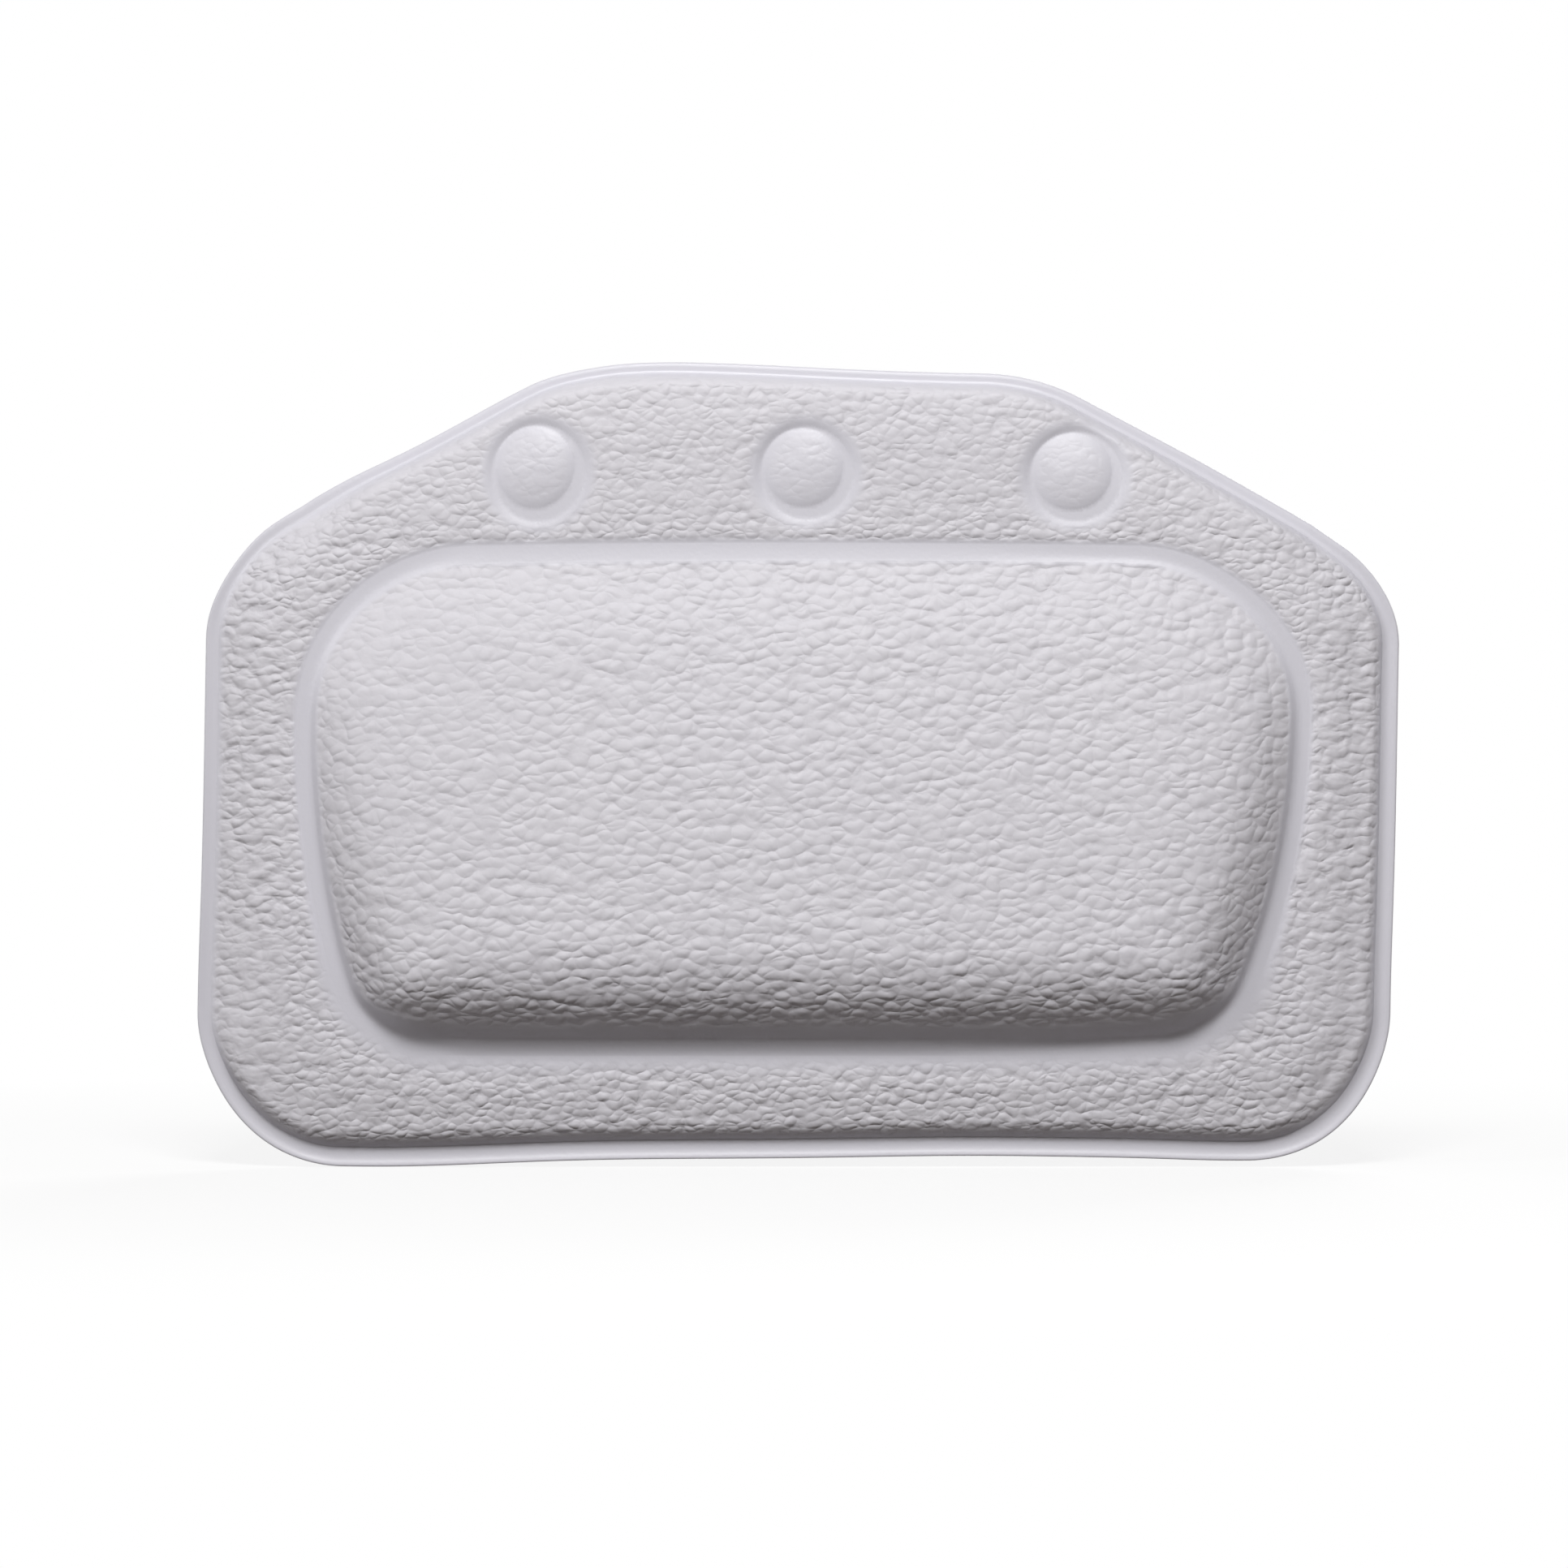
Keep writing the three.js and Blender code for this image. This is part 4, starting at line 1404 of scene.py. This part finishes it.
@dataclass
class BackSheet(FoldedSheet):
    """The plain back: one sheet, flat on the flange and under the groove and a little full between."""

    step: float = 2.2
    thickness: float = 0.95
    fullness: float = 1.1
    edge_insets: Sizes = (0.0, 0.3, 2.0, 4.0, 6.0, 8.0)
    band_insets: Sizes = (-6.5, -4.5, -2.5, 0.0, 2.5, 4.5, 6.5)
    cup_rows: Sizes = (NECK_HOLE, 6.0, 8.5, WASHER_RADIUS, WASHER_RADIUS + 1.2)
    cup_step: float = 0.4
    edge_room: float = 9.0
    band_room: float = 7.5
    cup_room: float = WASHER_RADIUS + 2.0
    hole_gap: float = 0.1
    slack: Zone = Zone(0.0, 9.0)
    slack_round_cup: Zone = Zone(WASHER_RADIUS + 1.0, 24.0)
    free_round_cup: Zone = Zone(WASHER_RADIUS + 1.0, 22.0)
    name: str = "back_sheet_skin"

    def fullness_at(self, points: Array) -> Array:
        """How far the back stands towards the wall.

        Args:
            points: Rows of x and z.

        Returns:
            The distance at each row.
        """
        form = self.form
        from_band = np.abs(form.band().inset_of(points)) - form.half_band
        full = self.slack.share(form.pad_inset(points)) * self.slack.share(from_band)
        for place in CupPlace:
            full = full * self.slack_round_cup.share(distance_from(points, place.centre))
        return self.fullness * full

    def build(self) -> Piece:
        """Forms the sheet with its holes for the cups' necks.

        Returns:
            The piece, ready to dress.
        """
        form, edge, band = self.form, self.form.outline(), self.form.band()
        rows = edge.rows(self.step, self.edge_insets)
        edge_count = len(rows[0])
        rows += band.rows(self.step, self.band_insets)
        fill = hex_fill(form, self.step)
        clear = (edge.inset_of(fill) > self.edge_room) & (np.abs(band.inset_of(fill)) > self.band_room)
        for place in CupPlace:
            clear &= distance_from(fill, place.centre) > self.cup_room
            for radius in self.cup_rows:
                rows.append(circle(place.centre, radius, min(self.step, radius * self.cup_step)))
        points, faces = triangulate(np.concatenate([*rows, fill[clear]]), edge_count)
        middles = points[faces].mean(axis=1)
        solid = np.ones(len(faces), bool)
        for place in CupPlace:
            solid &= distance_from(middles, place.centre) > NECK_HOLE - self.hole_gap
        rear = form.back_depth - self.fullness_at(points) + form.curl_at(points, edge.inset_of(points))
        piece = closed_layer(self.name, self.laid(points), faces[solid], rear + self.thickness, rear)
        full = self.fullness_at(spots(piece)[:, [0, 2]] / MM) / self.fullness
        mark(piece, "pressed", 1.0 - np.clip(full * 2.0, 0.0, 1.0))
        return piece

    def laid(self, points: Array) -> Array:
        """Where points lie: with the face at the edge, and square round the cups.

        Args:
            points: Rows of x and z on the even pattern.

        Returns:
            The moved rows.
        """
        away = np.min([distance_from(points, place.centre) for place in CupPlace], axis=0)
        free = self.free_round_cup.share(away)[:, None]
        return points + free * (self.form.lie.laid(points) - points)

    def dress(self, piece: Piece, material: Material) -> None:
        """Gives the sheet its finish, hides the CAD sheets that it stands for and bakes its place.

        Args:
            piece: The built sheet.
            material: The back vinyl.
        """
        form = self.form
        piece.data.materials.append(material)
        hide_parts("cushion_back_sheet", "flap_back_sheet")
        self.fold(piece)
        area = form.outline().area()


@dataclass
class FoamFill(FoldedSheet):
    """The foam between the sheets: the cushion's core, the border's ring and a disc in each dome."""

    step: float = 3.6
    room: float = 1.2
    least: float = 0.1
    edge_insets: Sizes = (0.5, 1.5, 3.5, 7.0)
    band_insets: Sizes = (-10.0, -6.0, -2.5, -0.15, 0.15, 2.5, 4.0, 6.0, 9.0, 14.0, 19.0)
    edge_room: float = 9.0
    band_room: Pair = (-11.5, 22.0)
    parting: float = 0.1
    disc_hole: float = 10.2
    disc_gap: float = 0.3
    disc_bend: float = 1.2
    dome_room: float = 2.0
    pocket_radius: float = 7.2
    pocket_top: float = 9.0
    pocket_height: float = 2.9
    pocket_rows: Sizes = (3.0, 7.2, 9.0, 10.0)
    pocket_room: float = 11.0
    cup_step: float = 1.5
    segments: int = 40

    def build(self) -> dict[str, Piece]:
        """Cuts the foam.

        Returns:
            The core and the border's ring, which meet under the middle of the groove, by name.
        """
        form, edge, band = self.form, self.form.outline(), self.form.band()
        rows = edge.rows(self.step, (0.0,))
        edge_count = len(rows[0])
        rows += edge.rows(self.step, form.flange + np.array(self.edge_insets), form.pad_shift)
        rows += band.rows(self.step, self.band_insets)
        fill = hex_fill(form, self.step)
        from_band, (outer, inner) = band.inset_of(fill), self.band_room
        clear = (form.pad_inset(fill) > self.edge_room) & ((from_band < outer) | (from_band > inner))
        dome_rows = (self.disc_hole, form.ring_radius)
        for places, room, radii in (
            (FLAP_CUPS, form.ring_radius + self.dome_room, dome_rows),
            (CUSHION_CUPS, self.pocket_room, self.pocket_rows),
        ):
            for place in places:
                clear &= distance_from(fill, place.centre) > room
                rows += [circle(place.centre, radius, self.cup_step) for radius in radii]
        points, faces = triangulate(np.concatenate([*rows, fill[clear]]), edge_count)
        middles = points[faces].mean(axis=1)
        from_band = band.inset_of(middles)
        in_ring = (form.pad_inset(middles) > self.edge_insets[0]) & (from_band < -self.parting)
        rear = np.zeros(len(points))
        for place in FLAP_CUPS:
            in_ring &= distance_from(middles, place.centre) > self.disc_hole - self.parting / 2.0
        for place in CUSHION_CUPS:
            away = distance_from(points, place.centre)
            pocket = 1.0 - smooth_step(self.pocket_radius, self.pocket_top, away)
            rear = np.maximum(rear, self.pocket_height * pocket)
        front = np.maximum(form.face_rise(points) - self.room, rear + self.least)
        laid, depths = form.lie.laid(points), (form.weld_depth + front, form.weld_depth + rear)
        parts = {"cushion_foam_core": from_band > self.parting, "border_foam_ring": in_ring}
        return {name: closed_layer(name, laid, faces[part], *depths) for name, part in parts.items()}

    def build_dome(self, place: CupPlace) -> Piece:
        """Turns the disc of foam inside one dome, with its pocket for the cup's head.

        Args:
            place: The dome's cup.

        Returns:
            The piece.
        """
        form = self.form
        wide = self.disc_hole - self.disc_gap
        low = form.sheet + form.pad_height - form.ring_depth - self.room
        turns = np.linspace(0.0, math.pi / 2.0, 14)
        profile = [(0.0, self.pocket_height), (self.pocket_radius, self.pocket_height)]
        profile += [(self.pocket_radius, 0.0), (wide, 0.0)]
        rises = [low + form.dome_height * math.sin(t) ** self.disc_bend for t in turns]
        profile += [(wide * math.cos(t), rise) for t, rise in zip(turns, rises)]
        depths = [(radius, form.weld_depth + rise) for radius, rise in profile]
        name = "dome_foam_disc_" + place.ending.split("_")[1]
        return turned(name, depths, place.centre, self.segments)

    def dress(self, pieces: dict[str, Piece], material: Material) -> None:
        """Gives the foam its finish and its place in the frame.

        Args:
            pieces: The core and the border's ring.
            material: The foam.
        """
        core, ring = pieces["cushion_foam_core"], pieces["border_foam_ring"]
        for piece in (core, ring):
            piece.data.materials.append(material)
        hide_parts("cushion_foam")
        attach(core, Body.CUSHION.value)
        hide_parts("border_foam", "flap_foam")
        self.fold(ring)

    def dress_dome(self, piece: Piece, place: CupPlace, material: Material) -> None:
        """Gives one dome's foam its finish and its place in the frame.

        Args:
            piece: The disc.
            place: The dome's cup.
            material: The foam.
        """
        piece.data.materials.append(material)
        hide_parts("dome_foam_" + place.ending.split("_")[1])
        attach(piece, Body.FLAP.value)


def turned(name: str, profile: list[Pair], centre: Array, count: int) -> Piece:
    """Turns a profile about an axis that stands out from the wall.

    Args:
        name: The piece's name.
        profile: Pairs of radius and depth, clockwise seen with the wall at the left.
        centre: The axis's x and z.
        count: How many steps make a turn.

    Returns:
        The piece, closed where the profile ends on the axis or meets itself.
    """
    points, faces, rows = [], [], []
    for radius, depth in profile:
        start = len(points)
        if radius < NEAR:
            points.append((centre[0], -depth, centre[1]))
            rows.append([start] * count)
            continue
        for i in range(count):
            turn = 2.0 * math.pi * i / count
            across, up = radius * math.cos(turn), radius * math.sin(turn)
            points.append((centre[0] + across, -depth, centre[1] + up))
        rows.append(list(range(start, start + count)))
    if profile[0][0] > NEAR:
        rows.append(rows[0])
    for first, second in zip(rows, rows[1:]):
        for i in range(count):
            j = (i + 1) % count
            corners = [first[i], first[j], second[j], second[i]]
            face = [c for k, c in enumerate(corners) if c not in corners[:k]]
            if len(face) > 2:
                faces.append(face)
    piece = mesh_piece(name, np.array(points), faces)
    build = bmesh.new()
    build.from_mesh(piece.data)
    bmesh.ops.recalc_face_normals(build, faces=build.faces)
    build.to_mesh(piece.data)
    build.free()
    return piece


@dataclass
class SuctionCup:
    """One clear cup: a thin bell with a flat lip, a boss, a neck and a mushroom head."""

    place: CupPlace
    radius: float = 19.0
    lip: float = 1.8
    edge: float = 0.6
    hollow: float = 7.2
    bell: float = 8.6
    boss_radius: float = 6.2
    boss_depth: float = 12.0
    neck_radius: float = 4.0
    head_radius: float = 6.5
    head_rise: float = 2.2
    weld_depth: float = WELD_DEPTH
    segments: int = 72

    @staticmethod
    def cap(rim: float, rise: float, radius: Array) -> Array:
        """The height over its rim of a round cap, at each radius."""
        ball = (rim * rim + rise * rise) / (2.0 * rise)
        return np.sqrt(np.maximum(ball * ball - radius * radius, 0.0)) - (ball - rise)

    def profile(self) -> list[Pair]:
        """The cup's half section.

        Returns:
            Pairs of radius and depth, from the top of the hollow round to the head.
        """
        out, inner = self.radius, self.radius - self.lip
        boss, neck, head = self.boss_radius, self.neck_radius, self.head_radius
        top, seat = self.boss_depth, self.weld_depth
        inside = np.linspace(0.0, inner, 16)
        made = list(zip(inside, self.cap(inner, self.hollow, inside)))
        made += [(inner + 0.5, 0.0), (out - 0.25, 0.0), (out, 0.2), (out, self.edge)]
        outside = np.linspace(out - 0.4, boss + 2.4, 16)
        made += list(zip(outside, self.edge + self.cap(out, self.bell, outside)))
        start, bend, foot = made[-1], (boss + 0.15, made[-1][1] + 0.35), (boss, top - 2.0)
        for share in np.linspace(0.2, 1.0, 5):
            rest = 1.0 - share
            weights = (rest * rest, 2.0 * rest * share, share * share)
            made.append(tuple(sum(w * c for w, c in zip(weights, axis)) for axis in zip(start, bend, foot)))
        made += [(boss, top - 0.4), (boss - 0.12, top - 0.12), (boss - 0.4, top)]
        made += [(neck + 0.4, top), (neck + 0.1, top + 0.1), (neck, top + 0.4)]
        made += [(neck, seat - 0.05), (neck + 0.3, seat), (head - 0.3, seat), (head, seat + 0.25)]
        for turn in np.linspace(0.2, math.pi / 2.0, 8):
            made.append((head * math.cos(turn), seat + self.head_rise * math.sin(turn)))
        made[-1] = (0.0, seat + self.head_rise)
        return made

    def build(self) -> Piece:
        """Turns the cup on its axis."""
        return turned(f"suction_cup_{self.place.ending}", self.profile(), self.place.centre, self.segments)

    def dress(self, piece: Piece, material: Material) -> None:
        """Gives the cup its finish and its own body.

        Args:
            piece: The built cup.
            material: The clear vinyl.
        """
        piece.data.materials.append(material)
        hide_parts(f"cup_{self.place.ending}")
        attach(piece, f"cup_{self.place.ending}")


@dataclass
class NeckWasher:
    """The washer that is welded to the back sheet round one cup's neck."""

    place: CupPlace
    hole: float = NECK_HOLE
    radius: float = WASHER_RADIUS
    near: float = 12.35
    far: float = 13.78
    groove: float = 0.3
    segments: int = 72

    def profile(self) -> list[Pair]:
        """The washer's section, with the ring that the welding tool pressed into it.

        Returns:
            Pairs of radius and depth.
        """
        near, far, out = self.near, self.far, self.radius
        made = [(self.hole, far), (self.hole, near + 0.3), (self.hole + 0.3, near)]
        for radius, sink in ((6.9, 0.0), (7.3, 0.8), (7.8, 1.0), (8.3, 0.8), (8.7, 0.0)):
            made.append((radius, near + self.groove * sink))
        made += [(out - 0.6, near), (out - 0.2, near + 0.15), (out, near + 0.55), (out, far)]
        return made

    def build(self) -> Piece:
        """Turns the washer on the cup's axis."""
        return turned(f"neck_washer_{self.place.ending}", self.profile(), self.place.centre, self.segments)

    def dress(self, piece: Piece, material: Material) -> None:
        """Gives the washer its finish and its place in the frame.

        Args:
            piece: The built washer.
            material: The washer vinyl.
        """
        piece.data.materials.append(material)
        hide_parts(f"eyelet_{self.place.ending}")
        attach(piece, self.place.carrier.value)


@dataclass(frozen=True)
class Lamp:
    """A soft square lamp: its direction from the pillow, its distance and side in metres, and its watts."""

    name: str
    towards: tuple[float, float, float]
    away: float
    size: float
    power: float

    def hang(self, middle: Vector) -> None:
        """Hangs the lamp.

        Args:
            middle: The place that it is turned to.
        """
        data = bpy.data.lights.new(self.name, "AREA")
        data.size, data.energy = self.size, self.power
        lamp = bpy.data.objects.new(self.name, data)
        way = Vector(self.towards).normalized()
        lamp.location = middle + way * self.away
        lamp.rotation_mode = "QUATERNION"
        lamp.rotation_quaternion = way.to_track_quat("Z", "Y")
        bpy.context.scene.collection.objects.link(lamp)


@dataclass
class Studio:
    """The pale floor, the soft lamps and the camera."""

    form: PillowForm
    frame_width: float = 435.9
    distance: float = 1600.0
    sensor: float = 36.0
    aim: tuple[float, float, float] = (-4.5, -15.5, -86.9)
    floor_half: float = 6000.0
    floor_gap: float = 2.3
    shadow_reach: Pair = (0.22, 0.55)
    shadow_glow: float = 0.8
    low_light: float = 0.03
    lit_depth: float = -0.02
    white: Colour = (1.0, 1.0, 1.0, 1.0)
    pale: Colour = (0.92, 0.92, 0.92, 1.0)
    dull: Colour = (0.10, 0.085, 0.075, 1.0)
    warm: Colour = (1.0, 0.86, 0.75, 1.0)
    lamps: tuple[Lamp, ...] = (
        Lamp("key_lamp", (0.0, -0.74, 0.66), 1.35, 0.41, 14.9),
        Lamp("side_lamp", (-0.72, -0.52, 0.46), 4.0, 1.0, 34.0),
        Lamp("back_lamp", (0.35, 0.85, 0.45), 1.9, 1.0, 26.0),
    )

    def build_floor(self) -> None:
        """Lays a wide floor under the pillow."""
        half, low = self.floor_half, self.form.bottom - self.floor_gap
        corners = [(-half, -half, low), (half, -half, low), (half, half, low), (-half, half, low)]
        floor = mesh_piece("studio_floor", np.array(corners), [(0, 1, 2, 3)])
        made = bpy.data.materials.new("studio_floor_white")
        made.use_nodes = True
        wiring = Wiring(made.node_tree)
        seen = self.seen(wiring)
        dull = wiring.node("ShaderNodeBsdfDiffuse", Color=self.dull)
        pale = wiring.node("ShaderNodeBsdfDiffuse", Color=self.pale)
        glow = wiring.node("ShaderNodeEmission", Color=self.white, Strength=1.0)
        both = wiring.either(seen, dull, wiring.either(self.glow_share(wiring), pale, glow))
        wiring.node("ShaderNodeOutputMaterial", Surface=both.outputs[0])
        floor.data.materials.append(made)

    def glow_share(self, wiring: Wiring) -> Socket:
        """How much of the floor's white is its own: less near the pillow, where its shadow lies.

        Args:
            wiring: The floor's tree.

        Returns:
            The share, which reaches 1 half a metre from the pillow.
        """
        place = wiring.node("ShaderNodeTexCoord").outputs["Object"]
        away = wiring.node("ShaderNodeVectorMath", {"operation": "LENGTH"})
        wiring.feed(away.inputs[0], place)
        return wiring.ranged(away.outputs["Value"], self.shadow_reach, self.shadow_glow, 1.0)

    @staticmethod
    def seen(wiring: Wiring) -> Socket:
        """Tells rays that show the background from rays that light the pillow.

        Args:
            wiring: The tree that asks.

        Returns:
            1 for what the camera sees, directly, in gloss or through clear vinyl.
        """
        path = wiring.node("ShaderNodeLightPath")
        first = wiring.sum("MAXIMUM", path.outputs["Is Camera Ray"], path.outputs["Is Glossy Ray"])
        return wiring.sum("MAXIMUM", first, path.outputs["Is Transmission Ray"])

    def light_world(self) -> None:
        """Gives a white background and a low light from all round."""
        world = bpy.data.worlds.new("studio_world")
        world.use_nodes = True
        bpy.context.scene.world = world
        wiring = Wiring(world.node_tree)
        seen = self.seen(wiring)
        white = wiring.node("ShaderNodeBackground", Color=self.white, Strength=1.0)
        low = wiring.node("ShaderNodeBackground", Color=self.warm, Strength=self.low_light)
        wiring.node("ShaderNodeOutputWorld", Surface=wiring.either(seen, low, white).outputs[0])

    def light(self) -> None:
        """Lights the pillow from above and from far to the left, and its back from behind."""
        self.light_world()
        for lamp in self.lamps:
            lamp.hang(Vector((0.0, self.lit_depth, self.form.centre[1] * MM)))

    def place_camera(self) -> None:
        """Stands a long lens square in front of the pillow."""
        data = bpy.data.cameras.new("front_camera")
        data.sensor_width = self.sensor
        data.lens = self.sensor * self.distance / self.frame_width
        data.clip_end = 100.0
        camera = bpy.data.objects.new("front_camera", data)
        x, y, z = self.aim
        camera.location = (x * MM, (y - self.distance) * MM, z * MM)
        camera.rotation_euler = (math.pi / 2.0, 0.0, 0.0)
        bpy.context.scene.collection.objects.link(camera)
        bpy.context.scene.camera = camera


def report(piece: Piece) -> None:
    """Logs a finished piece and how many points it has."""
    LOG.info("%s: %d points", piece.name, len(piece.data.vertices))


def main() -> None:
    """Builds the pillow piece by piece, and its stage."""
    logging.basicConfig(level=logging.INFO, format="%(message)s")
    form, effects, emboss = PillowForm(), Effects(), Emboss()
    face_vinyl = VinylFinish("face_vinyl_embossed", emboss=emboss).material(effects)
    back_vinyl = VinylFinish("back_vinyl_plain", pore_size=1300.0, pore_depth=0.04).material(effects)
    washer_vinyl = VinylFinish("washer_vinyl", roughness=(0.42, 0.30), marked=False).material(effects)
    foam, clear = FoamFinish().material(effects), ClearFinish().material(effects)

    face = FaceSheet(form, emboss=emboss)
    skin = face.build()
    face.dress(skin, face_vinyl)
    report(skin)
    back = BackSheet(form)
    rear = back.build()
    back.dress(rear, back_vinyl)
    report(rear)

    fill = FoamFill(form)
    foams = fill.build()
    fill.dress(foams, foam)
    for place in FLAP_CUPS:
        disc = fill.build_dome(place)
        fill.dress_dome(disc, place, foam)
        foams[disc.name] = disc
    for piece in foams.values():
        report(piece)

    for place in CupPlace:
        for part, material in ((SuctionCup(place), clear), (NeckWasher(place), washer_vinyl)):
            piece = part.build()
            part.dress(piece, material)
            report(piece)

    studio = Studio(form)
    studio.build_floor()
    studio.light()
    studio.place_camera()
    bpy.context.scene.view_settings.view_transform = "Standard"


if __name__ == "__main__":
    main()
